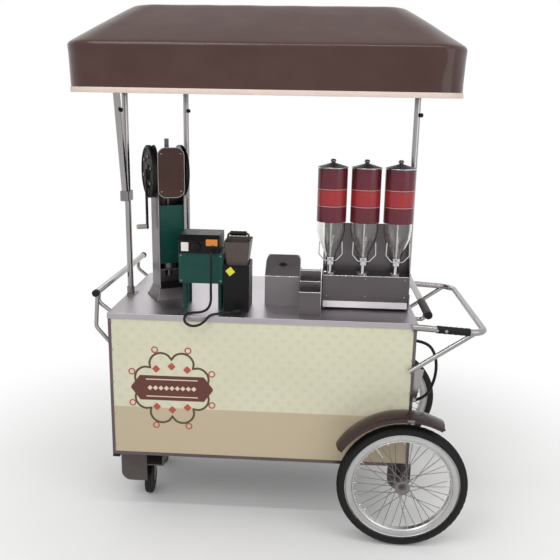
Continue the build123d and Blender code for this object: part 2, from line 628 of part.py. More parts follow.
TUBE_IN = COVER_T + 0.3
BEAM_HALF = CANOPY_TUBE / 2
EDGE_X = CANOPY_HALF_X - TUBE_IN
EDGE_Y = CANOPY_HALF_Y - TUBE_IN
EDGE_R = CANOPY_CORNER - TUBE_IN
eave_ring = extrude(
    rounded(EDGE_X, EDGE_Y, EDGE_R, BEAM_Z0)
    - rounded(EDGE_X - CANOPY_TUBE, EDGE_Y - CANOPY_TUBE, EDGE_R - CANOPY_TUBE, BEAM_Z0), CANOPY_TUBE)
TOP_X = ROOF_HALF_X - 45.0
TOP_Y = ROOF_HALF_Y - 45.0
TOP_Z = ROOF_Z - COVER_T - 0.3 - CANOPY_TUBE
top_ring = extrude(
    rounded(TOP_X, TOP_Y, 30.0, TOP_Z)
    - rounded(TOP_X - CANOPY_TUBE, TOP_Y - CANOPY_TUBE, 12.0, TOP_Z), CANOPY_TUBE)
RAFTER_R = 7.5
RING_MID = 38.0
rafters = []
for sx in (-1, 1):
    for sy in (-1, 1):
        rafters.append(rod((sx * (EDGE_X - RING_MID), sy * (EDGE_Y - RING_MID), BEAM_Z0 + BEAM_HALF),
                           (sx * (TOP_X - 16), sy * (TOP_Y - 16), TOP_Z + BEAM_HALF - 1), RAFTER_R))
canopy_frame = fuse([
    eave_ring,
    block(-POST_X - BEAM_HALF, -POST_X + BEAM_HALF, -EDGE_Y + 10, EDGE_Y - 10, BEAM_Z0, EAVE_Z),
    block(POST_X - BEAM_HALF, POST_X + BEAM_HALF, -EDGE_Y + 10, EDGE_Y - 10, BEAM_Z0, EAVE_Z),
    block(-EDGE_X + 10, EDGE_X - 10, REAR_POST_Y - BEAM_HALF, REAR_POST_Y + BEAM_HALF, BEAM_Z0, EAVE_Z),
] + rafters + [top_ring])
save("canopy_frame", canopy_frame)

# Hand press, turned on the counter; drawn about its own upright axis
PRESS_X = -HALF_L + 185.0
PRESS_Y = -HALF_D + 280.0
PRESS_TURN = 27.0
PRESS_HALF = 55.0
PRESS_DEEP = 60.0
PRESS_WALL = 4.0
PRESS_TOP = 635.0
PRESS_FOOT = 50.0
CYL_R = 40.0
CYL_BORE = 36.0
CYL_Z0 = 131.0
CYL_Z1 = 365.0
SHELF_T = 6.0
RACK_R = 9.0
RACK_TOP = 660.0
PINION_R = 22.0
PINION_Z = 526.0
PINION_Y = RACK_R + PINION_R + 0.3
DISC_R = 107.0
DISC_X0 = 60.0
DISC_T = 12.0
SHAFT_R = 10.0
CRANK_LEN = 226.0
CRANK_X = 84.0
GRIP_LEN = 40.0
GRIP_R = 10.0
COVER_Z0 = 427.0
COVER_Z1 = 628.0


def at_press(shape):
    return Pos(PRESS_X, PRESS_Y, COUNTER_Z) * Rot(0, 0, PRESS_TURN) * shape


def along_shaft(x0, x1, radius):
    return rod((x0, PINION_Y, PINION_Z), (x1, PINION_Y, PINION_Z), radius)


def side_plate(x0):
    plate = block(x0, x0 + PRESS_WALL, -PRESS_DEEP, PRESS_DEEP, PRESS_FOOT - 2, PRESS_TOP - PRESS_DEEP)
    crown = rod((x0, 0, PRESS_TOP - PRESS_DEEP), (x0 + PRESS_WALL, 0, PRESS_TOP - PRESS_DEEP), PRESS_DEEP)
    return plate + crown


INSIDE = PRESS_HALF - PRESS_WALL
foot = loft([
    Plane.XY.offset(6.0) * RectangleRounded(146, 156, 6),
    Plane.XY.offset(PRESS_FOOT) * RectangleRounded(2 * PRESS_HALF, 2 * PRESS_DEEP, 2),
])
press_frame = fuse([
    Pos(0, 0, 3) * Box(150, 160, 6),
    foot,
    side_plate(-PRESS_HALF),
    side_plate(INSIDE),
    block(-INSIDE - 1, INSIDE + 1, PRESS_DEEP - PRESS_WALL, PRESS_DEEP, PRESS_FOOT - 2,
          PRESS_TOP - PRESS_DEEP),
    block(-INSIDE - 1, INSIDE + 1, -PRESS_DEEP + 14, PRESS_DEEP - 1, CYL_Z0 - SHELF_T, CYL_Z0),
    block(-INSIDE - 1, INSIDE + 1, -PRESS_DEEP + 14, PRESS_DEEP - 1, CYL_Z1, CYL_Z1 + SHELF_T),
])
press_frame = press_frame - rod((0, 0, CYL_Z0 - 10), (0, 0, CYL_Z0 + 1), 14.3)
press_frame = press_frame - rod((0, 0, CYL_Z1 - 1), (0, 0, CYL_Z1 + 10), RACK_R + RUN_FIT)
press_frame = press_frame - along_shaft(-PRESS_HALF - 1, PRESS_HALF + 1, SHAFT_R + RUN_FIT)
save("press_frame", at_press(press_frame))

cover_plate = block(-PRESS_HALF, PRESS_HALF, -PRESS_DEEP - 4, -PRESS_DEEP, COVER_Z0, COVER_Z1)
cover_plate = fillet(cover_plate.edges().filter_by(Axis.Y), 34.0)
save("press_cover", at_press(cover_plate))
save("press_panel", at_press(block(-INSIDE, INSIDE, -PRESS_DEEP + 9, -PRESS_DEEP + 12,
                                   CYL_Z0 + 24, CYL_Z1 + 30)))

cylinder = turned([
    (8, CYL_Z0 - 36), (14, CYL_Z0 - 36), (14, CYL_Z0), (CYL_R, CYL_Z0), (CYL_R, CYL_Z1),
    (CYL_BORE, CYL_Z1), (CYL_BORE, CYL_Z0 + 6), (8, CYL_Z0 + 6),
], (0, 0, 0))
save("press_cylinder", at_press(cylinder))

crank_arm = block(-CRANK_X, -CRANK_X + 8, PINION_Y - 8, PINION_Y + 8, PINION_Z - CRANK_LEN, PINION_Z)
crank = fuse([
    along_shaft(-CRANK_X, DISC_X0 + DISC_T + 4, SHAFT_R),
    along_shaft(-DISC_X0 - DISC_T, -DISC_X0, DISC_R),
    along_shaft(DISC_X0, DISC_X0 + DISC_T, DISC_R),
    along_shaft(-20, 20, PINION_R),
    crank_arm,
    rod((-CRANK_X, PINION_Y, PINION_Z - CRANK_LEN), (-CRANK_X + 8, PINION_Y, PINION_Z - CRANK_LEN), 11.0),
])
save("press_crank", at_press(crank))
grip = rod((-CRANK_X - GRIP_LEN, PINION_Y, PINION_Z - CRANK_LEN),
           (-CRANK_X, PINION_Y, PINION_Z - CRANK_LEN), GRIP_R)
grip = fillet(grip.edges().sort_by(Axis.X)[0], 4.0)
save("press_grip", at_press(grip))
PISTON_Z = CYL_Z1 - 40
rack = rod((0, 0, PISTON_Z), (0, 0, PISTON_Z + 15), CYL_BORE - RUN_FIT)
rack = rack + rod((0, 0, PISTON_Z), (0, 0, RACK_TOP), RACK_R)
save("press_rack", at_press(rack))

# Fryer: green casing on legs, black control head and tank, a lift-out hopper basket
FRY_X0 = PRESS_X + 82.0
FRY_X1 = FRY_X0 + 178.0
FRY_Y0 = -HALF_D + 78.0
FRY_Y1 = FRY_Y0 + 154.0
FRY_Z0 = COUNTER_Z + 111.0
FRY_Z1 = FRY_Z0 + 121.0
HEAD_X1 = FRY_X1 - 17.0
HEAD_Z1 = FRY_Z1 + 69.0
HEAD_Y0 = FRY_Y0 - 5
TANK_X1 = FRY_X1 + 100.0
TANK_Z1 = COUNTER_Z + 184.0
WELL_HALF_X = 44.0
WELL_HALF_Y = 62.0
WELL_Z = TANK_Z1 - 34.0
BASKET_X = (FRY_X1 + TANK_X1) / 2
BASKET_Y = FRY_Y0 + 76.0
BASKET_TOP = TANK_Z1 + 93.0
BASKET_T = 2.5
KNOB_X = HEAD_X1 - 88.0
KNOB_Z = FRY_Z1 + 26.0
KNOB_SHAFT = 4.0

casing = fillet(block(FRY_X0, FRY_X1, FRY_Y0, FRY_Y1, FRY_Z0, FRY_Z1).edges().filter_by(Axis.Z), 8.0)
for x in (FRY_X0 + 18, FRY_X1 - 18):
    for y in (FRY_Y0 + 46, FRY_Y1 - 18):
        casing = casing + rod((x, y, COUNTER_Z), (x, y, FRY_Z0 + 4), 10.0)
save("fryer_casing", casing)

head = block(FRY_X0 + 1, HEAD_X1, HEAD_Y0, FRY_Y1, FRY_Z1, HEAD_Z1)
head = chamfer(head.edges().filter_by(Axis.X).sort_by(lambda e: e.center().Y - e.center().Z)[0], 20.0, 24.0)
head = fillet(head.edges().filter_by(Axis.Z), 6.0)
head = head - rod((KNOB_X, HEAD_Y0 - 1, KNOB_Z), (KNOB_X, HEAD_Y0 + 16, KNOB_Z), KNOB_SHAFT + RUN_FIT)
tank = block(FRY_X1, TANK_X1, FRY_Y0 - 3, FRY_Y1, COUNTER_Z, TANK_Z1)
tank = fillet(tank.edges().filter_by(Axis.Z).sort_by(Axis.X)[2:], 8.0)
tank = tank - block(BASKET_X - WELL_HALF_X, BASKET_X + WELL_HALF_X, BASKET_Y - WELL_HALF_Y,
                    BASKET_Y + WELL_HALF_Y, WELL_Z - 0.3, TANK_Z1 + 1)
save("fryer_body", Compound(children=[head, tank]))

knob = rod((KNOB_X, HEAD_Y0 - CLEAR - 18, KNOB_Z), (KNOB_X, HEAD_Y0 - CLEAR, KNOB_Z), 16.0)
knob = chamfer(knob.edges().sort_by(Axis.Y)[0], 3.0)
KNOB_FACE = HEAD_Y0 - CLEAR - 18
knob = knob + block(KNOB_X - 2.5, KNOB_X + 2.5, KNOB_FACE - 4, KNOB_FACE + 2, KNOB_Z - 15, KNOB_Z + 15)
knob = knob + rod((KNOB_X, HEAD_Y0 - CLEAR - 1, KNOB_Z), (KNOB_X, HEAD_Y0 + 14, KNOB_Z), KNOB_SHAFT)
save("fryer_knob", knob)


def basket_form(inset, z0):
    return Pos(BASKET_X, BASKET_Y, 0) * loft([
        Plane.XY.offset(z0) * RectangleRounded(72 - 2 * inset, 112 - 2 * inset, 6),
        Plane.XY.offset(BASKET_TOP) * RectangleRounded(104 - 2 * inset, 148 - 2 * inset, 8),
    ])


BAIL_X = 44.0
bail = pipe([
    (BASKET_X - BAIL_X, BASKET_Y, BASKET_TOP - 14), (BASKET_X - BAIL_X + 4, BASKET_Y, BASKET_TOP + 24),
    (BASKET_X + BAIL_X - 4, BASKET_Y, BASKET_TOP + 24), (BASKET_X + BAIL_X, BASKET_Y, BASKET_TOP - 14),
], 4.5, 10.0)
basket = basket_form(0.0, WELL_Z) - basket_form(BASKET_T, WELL_Z + BASKET_T) + bail
save("fryer_basket", basket)


# Cords: straight runs joined by tangent arcs
def cord(points, radius):
    spots = [Vector(*p) for p in points]
    radii = []
    for a, b, c in zip(spots, spots[1:], spots[2:]):
        half_turn = radians((b - a).get_angle(c - b)) / 2
        radii.append(0.45 * min((b - a).length, (c - b).length) / tan(half_turn))
    line = FilletPolyline(*points, radius=radii)
    tube = sweep(Plane(origin=line @ 0, z_dir=line % 0) * Circle(radius), path=line)
    expected = pi * radius ** 2 * line.length
    print(f"cord length {line.length:.1f}  least bend {min(radii):.1f}  ratio {tube.volume / expected:.4f}")
    return tube


LEAD_R = 5.0
LEAD_X = HEAD_X1 - 24.0
LEAD_EXIT_Z = FRY_Z1 + 22.0
LEAD_HANG = ((0, 0, 0), (0, -30, 0), (0, -50, -22), (2, -52, -68), (-1, -50, -152))
LEAD_LIE = (
    (1, -52, 52), (-12, -54, 22), (-40, -55, 9), (-72, -60, 9), (-96, -78, 7), (-98, -101, -14),
    (-76, -108, -30), (-44, -108, -30), (-18, -103, -14), (0, -84, 8), (26, -68, 10), (54, -61, 10),
    (80, -57, 14),
)
LEAD_ROUTE = [(LEAD_X + x, HEAD_Y0 + y, LEAD_EXIT_Z + z) for x, y, z in LEAD_HANG]
LEAD_ROUTE = LEAD_ROUTE + [(LEAD_X + x, HEAD_Y0 + y, COUNTER_Z + z) for x, y, z in LEAD_LIE]
lead = cord(LEAD_ROUTE, LEAD_R)
save("fryer_lead", lead)
plug_way = Vector(*LEAD_ROUTE[-1]) - Vector(*LEAD_ROUTE[-2])
plug_plane = Plane(origin=LEAD_ROUTE[-1], z_dir=plug_way)
plug = plug_plane * (
    Cylinder(6.5, 12, align=(Align.CENTER, Align.CENTER, Align.MIN))
    + Pos(0, 0, 10) * Cylinder(11, 26, align=(Align.CENTER, Align.CENTER, Align.MIN))
    + Pos(0, 9.5, 34) * Cylinder(2.2, 19, align=(Align.CENTER, Align.CENTER, Align.MIN))
    + Pos(0, -9.5, 34) * Cylinder(2.2, 19, align=(Align.CENTER, Align.CENTER, Align.MIN))
)
save("fryer_plug", plug)

CABLE_R = 6.0
CABLE_Y = -HALF_D + 80.0
GLAND_T = 9.0
GLAND_R = 12.0
CABLE_LOOP = ((GLAND_T, 95), (59.5, 101), (93.5, 155), (99.5, 225), (83.5, 293), (53.5, 338), (GLAND_T, 351))
CABLE_ROUTE = [(PANEL_X + out, CABLE_Y, COUNTER_Z - drop) for out, drop in CABLE_LOOP]
cable = cord(CABLE_ROUTE, CABLE_R)
save("side_cable", cable)
glands = []
for x, y, z in (CABLE_ROUTE[0], CABLE_ROUTE[-1]):
    glands.append(rod((PANEL_X, y, z), (PANEL_X + GLAND_T, y, z), GLAND_R) - cable)
save("cable_glands", Compound(children=glands))

# Filling dispenser: sheet base on feet with back and end plates, three hoppers on valves
DISP_X1 = POST_X - 5.0
DISP_X0 = DISP_X1 - 352.0
DISP_Y0 = -HALF_D + 175.0
DISP_Y1 = DISP_Y0 + 102.0
DISP_Z = COUNTER_Z + 139.7
DISP_BACK_Z = DISP_Z + 197.0
DISP_T = 2.0
DISP_FOOT = 4.0
DISP_FOOT_R = 9.0
HOPPER_Y = DISP_Y0 + 40.0
HOPPER_PITCH = 132.5
HOPPER_MID = (DISP_X0 + DISP_X1) / 2 - 12.5
TANK_R = 56.0
TANK_WALL = 3.0
NECK_R = 20.0
NECK_Z = DISP_Z + 68.3
WRAP_Z0 = NECK_Z + 144.0
WRAP_Z1 = WRAP_Z0 + 209.0
WRAP_T = 3.0
WRAP_R = TANK_R + WRAP_T
RIM_Z = WRAP_Z1 + 2.0
VALVE_Z = NECK_Z - 17.0
BOSS_Y = HOPPER_Y - 27.0
LEVER_R = 4.0
LID_GAP = 0.3

base = block(DISP_X0, DISP_X1, DISP_Y0, DISP_Y1, COUNTER_Z + DISP_FOOT, DISP_Z)
base = fillet(base.edges().filter_by(Axis.Z), 4.0)
base = base - block(DISP_X0 + DISP_T, DISP_X1 - DISP_T, DISP_Y0 + DISP_T, DISP_Y1 - DISP_T,
                    COUNTER_Z - 1, DISP_Z - DISP_T)
for x in (DISP_X0 + DISP_FOOT_R, DISP_X1 - DISP_FOOT_R):
    for y in (DISP_Y0 + DISP_FOOT_R, DISP_Y1 - DISP_FOOT_R):
        base = base + rod((x, y, COUNTER_Z), (x, y, COUNTER_Z + DISP_FOOT + 6), DISP_FOOT_R - 0.5)
END_Y = DISP_Y1 - 1
end_face = Plane(origin=(DISP_X1 - DISP_T, 0, 0), x_dir=(0, 1, 0), z_dir=(1, 0, 0)) * make_face(Polyline(
    (DISP_Y0 + 6, DISP_Z - 1), (END_Y, DISP_Z - 1), (END_Y, DISP_BACK_Z), (END_Y - 20, DISP_BACK_Z),
    (END_Y - 26, NECK_Z + 60), close=True))
base = fuse([
    base,
    block(DISP_X0 + 4, DISP_X1, DISP_Y1 - DISP_T, DISP_Y1, DISP_Z - 10, DISP_BACK_Z),
    extrude(end_face, DISP_T),
])
save("dispenser_base", base)

TANK_IN = TANK_R - TANK_WALL
hoppers = []
wraps = []
valves = []
for number in (1, 2, 3):
    x = HOPPER_MID + HOPPER_PITCH * (number - 2)
    spot = (x, HOPPER_Y, 0)
    hoppers.append(turned([
        (NECK_R - 3.5, NECK_Z), (NECK_R, NECK_Z), (NECK_R + 4, NECK_Z + 16), (NECK_R + 18, NECK_Z + 46),
        (NECK_R + 30, NECK_Z + 76), (TANK_R, NECK_Z + 108), (TANK_R, RIM_Z), (TANK_IN, RIM_Z),
        (TANK_IN, NECK_Z + 109), (NECK_R + 26.6, NECK_Z + 77), (NECK_R + 14.6, NECK_Z + 47),
        (NECK_R + 0.5, NECK_Z + 17),
    ], spot))
    wraps.append(turned([
        (TANK_R + 0.1, WRAP_Z0), (WRAP_R, WRAP_Z0), (WRAP_R, WRAP_Z1), (TANK_R + 0.1, WRAP_Z1),
    ], spot))
    valve = turned([
        (0, DISP_Z), (24, DISP_Z), (24, DISP_Z + 5), (9, DISP_Z + 9), (9, NECK_Z - 35), (19.5, NECK_Z - 31),
        (NECK_R + 1, NECK_Z), (0, NECK_Z),
    ], spot)
    valve = valve + rod((x, HOPPER_Y, VALVE_Z), (x, BOSS_Y, VALVE_Z), 9.0)
    valves.append(valve - rod((x, BOSS_Y - 1, VALVE_Z), (x, BOSS_Y + 19, VALVE_Z), LEVER_R + RUN_FIT))
    save(f"hopper_lid_{number}", turned([
        (0, RIM_Z - 6), (TANK_IN - 0.4, RIM_Z - 6), (TANK_IN - 0.4, RIM_Z + LID_GAP),
        (WRAP_R + 1, RIM_Z + LID_GAP), (WRAP_R + 1, RIM_Z + 5), (12, RIM_Z + 19), (7, RIM_Z + 22),
        (11, RIM_Z + 27), (11, RIM_Z + 31), (7, RIM_Z + 35), (0, RIM_Z + 35),
    ], spot))
    lever = fuse([
        rod((x, BOSS_Y + 16, VALVE_Z), (x, BOSS_Y - 12, VALVE_Z), LEVER_R),
        rod((x, BOSS_Y - CLEAR, VALVE_Z), (x, BOSS_Y - 12, VALVE_Z), 8.0),
    ])
    for side in (-1, 1):
        lever = lever + pipe([
            (x, BOSS_Y - 7, VALVE_Z + 3), (x + side * 24, BOSS_Y - 19, VALVE_Z + 10),
            (x + side * 46, BOSS_Y - 28, VALVE_Z + 37), (x + side * 44, BOSS_Y - 28, VALVE_Z + 88),
        ], 2.5, 8.0)
    save(f"valve_lever_{number}", lever)
save("filling_hoppers", Compound(children=hoppers))
save("hopper_wraps", Compound(children=wraps))
save("valve_bodies", Compound(children=valves))

# Stepped tray stack and small box with a sloped lid; both share the counter left beside the dispenser
GOODS_SPACE = DISP_X0 - TANK_X1
GOODS_GAP = 3.0
TRAY_X1 = DISP_X0 - GOODS_GAP
TRAY_X0 = TRAY_X1 - GOODS_SPACE * 0.2937
BOX_X1 = TRAY_X0 - GOODS_GAP
BOX_X0 = BOX_X1 - GOODS_SPACE * 0.493
TRAY_Y0 = -HALF_D + 50.0
TRAY_STEP_Y = 58.0
TRAY_STEP_Z = 30.0
TRAY_Z0 = COUNTER_Z + 95.0
TRAY_T = 3.0
TRAY_LIP = 6.0
BOX_Y0 = -HALF_D + 184.0
BOX_Y1 = BOX_Y0 + 129.0
BOX_FRONT_Z = COUNTER_Z + 126.0
BOX_CORNER = 26.0
BOX_RISE = 69.0
SLOT_IN = 53.0

trays = []
for i in range(3):
    y0 = TRAY_Y0 + TRAY_STEP_Y * i
    y1 = y0 + TRAY_STEP_Y
    top = TRAY_Z0 + TRAY_STEP_Z * i
    trays.append(block(TRAY_X0, TRAY_X1, y0, y1 if i == 2 else y1 + 10, COUNTER_Z, top)
                 - block(TRAY_X0 + TRAY_T, TRAY_X1 - TRAY_T, y0 + TRAY_T, y1 + 20, top - TRAY_LIP, top + 1))
save("tray_stack", fuse(trays))

RIDGE_Y = BOX_Y1 - 26
box_side = Plane(origin=(BOX_X0, 0, 0), x_dir=(0, 1, 0), z_dir=(1, 0, 0)) * make_face(Polyline(
    (BOX_Y0, COUNTER_Z), (BOX_Y0, BOX_FRONT_Z), (RIDGE_Y, BOX_FRONT_Z + BOX_RISE),
    (BOX_Y1, BOX_FRONT_Z + BOX_RISE - 6), (BOX_Y1, COUNTER_Z), close=True))
sugar_box = extrude(box_side, BOX_X1 - BOX_X0)
sugar_box = fillet(sugar_box.edges().filter_by(Axis.X).group_by(Axis.Z)[-1], 12.0)
box_front = block(BOX_X0, BOX_X1, BOX_Y0 - 1, BOX_Y1 + 1, COUNTER_Z, BOX_FRONT_Z + BOX_RISE)
sugar_box = sugar_box & fillet(box_front.edges().filter_by(Axis.Y).group_by(Axis.Z)[-1], BOX_CORNER)
LID_RUN = RIDGE_Y - BOX_Y0
SLOT_Z = BOX_FRONT_Z + BOX_RISE * SLOT_IN / LID_RUN
slot = Rot(degrees(atan2(BOX_RISE, LID_RUN)), 0, 0) * Box(34, 10, 16)
slot = Pos((BOX_X0 + BOX_X1) / 2, BOX_Y0 + SLOT_IN, SLOT_Z) * slot
save("sugar_box", sugar_box - slot)
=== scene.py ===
"""A street food cart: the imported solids, dressed with canopy, tyres, cords, fittings and finishes."""

from math import atan2, cos, hypot, pi, radians, sin

import bmesh
import bpy
from bpy.props import FloatProperty, FloatVectorProperty, IntProperty, PointerProperty
from mathutils import Matrix, Vector


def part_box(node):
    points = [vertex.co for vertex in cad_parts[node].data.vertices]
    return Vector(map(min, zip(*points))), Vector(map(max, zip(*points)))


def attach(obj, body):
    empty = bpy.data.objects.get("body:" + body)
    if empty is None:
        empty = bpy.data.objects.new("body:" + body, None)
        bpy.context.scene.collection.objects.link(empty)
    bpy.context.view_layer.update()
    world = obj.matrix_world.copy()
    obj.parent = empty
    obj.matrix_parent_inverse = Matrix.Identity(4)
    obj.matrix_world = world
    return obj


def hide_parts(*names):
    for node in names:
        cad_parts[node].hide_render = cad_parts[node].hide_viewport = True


bl_info = {
    "name": "Street Food Cart",
    "version": (1, 0, 0),
    "blender": (4, 5, 0),
    "location": "View3D > Sidebar > Food Cart",
    "description": "Dresses the packed food cart with its soft goods, fittings and finishes",
    "category": "Add Mesh",
}

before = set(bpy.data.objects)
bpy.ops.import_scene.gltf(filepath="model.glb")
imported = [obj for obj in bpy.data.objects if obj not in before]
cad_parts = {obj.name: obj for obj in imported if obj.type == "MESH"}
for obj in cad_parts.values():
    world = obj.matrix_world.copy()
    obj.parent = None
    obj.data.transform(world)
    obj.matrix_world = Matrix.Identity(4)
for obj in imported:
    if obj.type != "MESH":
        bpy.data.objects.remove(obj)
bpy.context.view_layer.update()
PANEL_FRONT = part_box("front_panel")[0][1]
# lengths are in metres, apart from the places and sizes in millimetres that at and per_mm take
MM = 0.001
# the cabinet's middle lies left of the frame's, since the cart reaches further to the right
X_SHIFT = -80.0


def at(x, y, z):
    """A point of the cart in millimetres, x from the cabinet's middle, as a place in the frame."""
    return Vector(((x + X_SHIFT) * MM, y * MM, z * MM))


def per_mm(size):
    """The texture scale that gives a pattern of that size in millimetres."""
    return 1000.0 / size


def linear(code, alpha=1.0):
    """An sRGB hex colour as linear RGBA."""
    parts = [int(code[i:i + 2], 16) / 255.0 for i in (1, 3, 5)]
    parts = [p / 12.92 if p <= 0.04045 else ((p + 0.055) / 1.055) ** 2.4 for p in parts]
    return (*parts, alpha)


# Finishes


def add(tree, kind, inputs=None, **settings):
    """Adds a node with its settings; inputs are values, or output sockets to link from."""
    node = tree.nodes.new(kind)
    for name, value in settings.items():
        setattr(node, name, value)
    for name, value in (inputs or {}).items():
        if isinstance(value, bpy.types.NodeSocket):
            tree.links.new(value, node.inputs[name])
        else:
            node.inputs[name].default_value = value
    return node


def begin_finish(name, **sockets):
    """A material with its shader, its Object coordinates and the shader's even values set."""
    mat = bpy.data.materials.new(name)
    mat.use_nodes = True
    tree = mat.node_tree
    tree.nodes.clear()
    shader = add(tree, "ShaderNodeBsdfPrincipled")
    for key, value in sockets.items():
        shader.inputs[key.replace("_", " ")].default_value = value
    add(tree, "ShaderNodeOutputMaterial", {"Surface": shader.outputs[0]})
    where = add(tree, "ShaderNodeTexCoord").outputs["Object"]
    return mat, tree, shader, where


def mottle(tree, shader, where, low, high, size, rough, grain, depth):
    """Two tones in soft clouds, a roughness range and a fine grain as bump; gives the tone's socket.

    The clouds' size, the grain's and its depth are in millimetres."""
    cloud = add(tree, "ShaderNodeTexNoise", {"Vector": where, "Scale": per_mm(size), "Detail": 4.0})
    tone = add(tree, "ShaderNodeMix", {0: cloud.outputs[0], 6: linear(low), 7: linear(high)},
               data_type="RGBA").outputs[2]
    tree.links.new(tone, shader.inputs["Base Color"])
    fine = add(tree, "ShaderNodeTexNoise", {"Vector": where, "Scale": per_mm(grain), "Detail": 3.0})
    blend = add(tree, "ShaderNodeMath", {0: cloud.outputs[0], 1: fine.outputs[0]}, operation="MULTIPLY")
    spread = add(tree, "ShaderNodeMapRange", {"Value": blend.outputs[0], "From Min": 0.1, "From Max": 0.45,
                                              "To Min": rough[0], "To Max": rough[1]})
    tree.links.new(spread.outputs[0], shader.inputs["Roughness"])
    bump = add(tree, "ShaderNodeBump", {"Height": fine.outputs[0], "Strength": 0.5, "Distance": depth * MM})
    tree.links.new(bump.outputs[0], shader.inputs["Normal"])
    return tone


def brushed(name, low, high, rough, stretch):
    """Sheet drawn through abrasive belts: hair-fine streaks one way, drawn coarser so that they show."""
    mat, tree, shader, where = begin_finish(name, Metallic=1.0)
    along = add(tree, "ShaderNodeMapping", {"Vector": where, "Scale": stretch})
    streak = add(tree, "ShaderNodeTexNoise", {"Vector": along.outputs[0], "Scale": per_mm(2.5),
                                              "Detail": 4.0})
    smear = add(tree, "ShaderNodeTexNoise", {"Vector": where, "Scale": per_mm(140.0), "Detail": 3.0})
    tone = add(tree, "ShaderNodeMix", {0: smear.outputs[0], 6: linear(low), 7: linear(high)},
               data_type="RGBA")
    tree.links.new(tone.outputs[2], shader.inputs["Base Color"])
    both = add(tree, "ShaderNodeMath", {0: streak.outputs[0], 1: smear.outputs[0]}, operation="MULTIPLY")
    spread = add(tree, "ShaderNodeMapRange", {"Value": both.outputs[0], "From Min": 0.12, "From Max": 0.42,
                                              "To Min": rough[0], "To Max": rough[1]})
    tree.links.new(spread.outputs[0], shader.inputs["Roughness"])
    bump = add(tree, "ShaderNodeBump", {"Height": streak.outputs[0], "Strength": 0.35, "Distance": 0.12 * MM})
    tree.links.new(bump.outputs[0], shader.inputs["Normal"])
    return mat


def cloudy(name, low, high, size, rough, grain, depth, **sockets):
    """A painted, moulded or cast surface: two near tones, uneven gloss and a fine grain."""
    mat, tree, shader, where = begin_finish(name, **sockets)
    mottle(tree, shader, where, low, high, size, rough, grain, depth)
    return mat


def printed_panel(name):
    """Printed vinyl film on sheet: cream, a faint grey-green check above, a plain tan foot band."""
    looks = bpy.context.scene.cart_print
    mat, tree, shader, where = begin_finish(name, Specular_IOR_Level=0.25)
    tone = mottle(tree, shader, where, "#cfcbb1", "#d9d6bf", 260.0, (0.28, 0.42), 1.6, 0.05)
    parts = add(tree, "ShaderNodeSeparateXYZ", {0: where})
    side = add(tree, "ShaderNodeMath", {0: parts.outputs[0], 1: parts.outputs[1]}, operation="ADD")
    # soft dots on a square repeat that stands on its corner, blended in by a third
    flat = add(tree, "ShaderNodeCombineXYZ", {0: side.outputs[0], 1: parts.outputs[2]})
    repeat = add(tree, "ShaderNodeMapping", {"Vector": flat.outputs[0],
                                             "Rotation": (0.0, 0.0, radians(45.0))})
    cells = add(tree, "ShaderNodeTexVoronoi", {"Vector": repeat.outputs[0], "Scale": per_mm(looks.motif / MM),
                                               "Randomness": 0.0}, voronoi_dimensions="2D")
    dots = add(tree, "ShaderNodeMapRange", {"Value": cells.outputs["Distance"], "From Min": 0.34,
                                            "From Max": 0.24, "To Min": 0.0, "To Max": 0.34})
    reach = add(tree, "ShaderNodeMapRange", {"Value": parts.outputs[2], "From Min": looks.band - 0.004,
                                             "From Max": looks.band, "To Min": 0.0, "To Max": 1.0})
    mask = add(tree, "ShaderNodeMath", {0: dots.outputs[0], 1: reach.outputs[0]}, operation="MULTIPLY")
    motif = add(tree, "ShaderNodeMix", {0: mask.outputs[0], 6: tone}, data_type="RGBA")
    motif.inputs[7].default_value = (*looks.motif_colour, 1.0)
    foot = add(tree, "ShaderNodeMix", {0: reach.outputs[0], 7: motif.outputs[2]}, data_type="RGBA")
    foot.inputs[6].default_value = (*looks.foot_colour, 1.0)
    tree.links.new(foot.outputs[2], shader.inputs["Base Color"])
    return mat


# bands printed round the hoppers, from the widest to the narrowest: heights above the ground and colour
WRAP_BANDS = ((1.299, 1.368, "#c78480"), (1.302, 1.365, "#5e1a25"), (1.305, 1.362, "#9a2c30"))


def wrap_print(name):
    """Glossy printed film round a tube: burgundy, with a red band between two pale pink lines."""
    mat, tree, shader, where = begin_finish(name, Specular_IOR_Level=0.3, Coat_Weight=0.15,
                                            Coat_Roughness=0.12)
    last = mottle(tree, shader, where, "#581c27", "#662430", 60.0, (0.22, 0.34), 1.2, 0.03)
    height = add(tree, "ShaderNodeSeparateXYZ", {0: where}).outputs[2]
    for low, high, colour in WRAP_BANDS:
        above = add(tree, "ShaderNodeMath", {0: height, 1: low}, operation="GREATER_THAN")
        below = add(tree, "ShaderNodeMath", {0: height, 1: high}, operation="LESS_THAN")
        inside = add(tree, "ShaderNodeMath", {0: above.outputs[0], 1: below.outputs[0]}, operation="MULTIPLY")
        last = add(tree, "ShaderNodeMix", {0: inside.outputs[0], 6: last, 7: linear(colour)},
                   data_type="RGBA").outputs[2]
    tree.links.new(last, shader.inputs["Base Color"])
    return mat


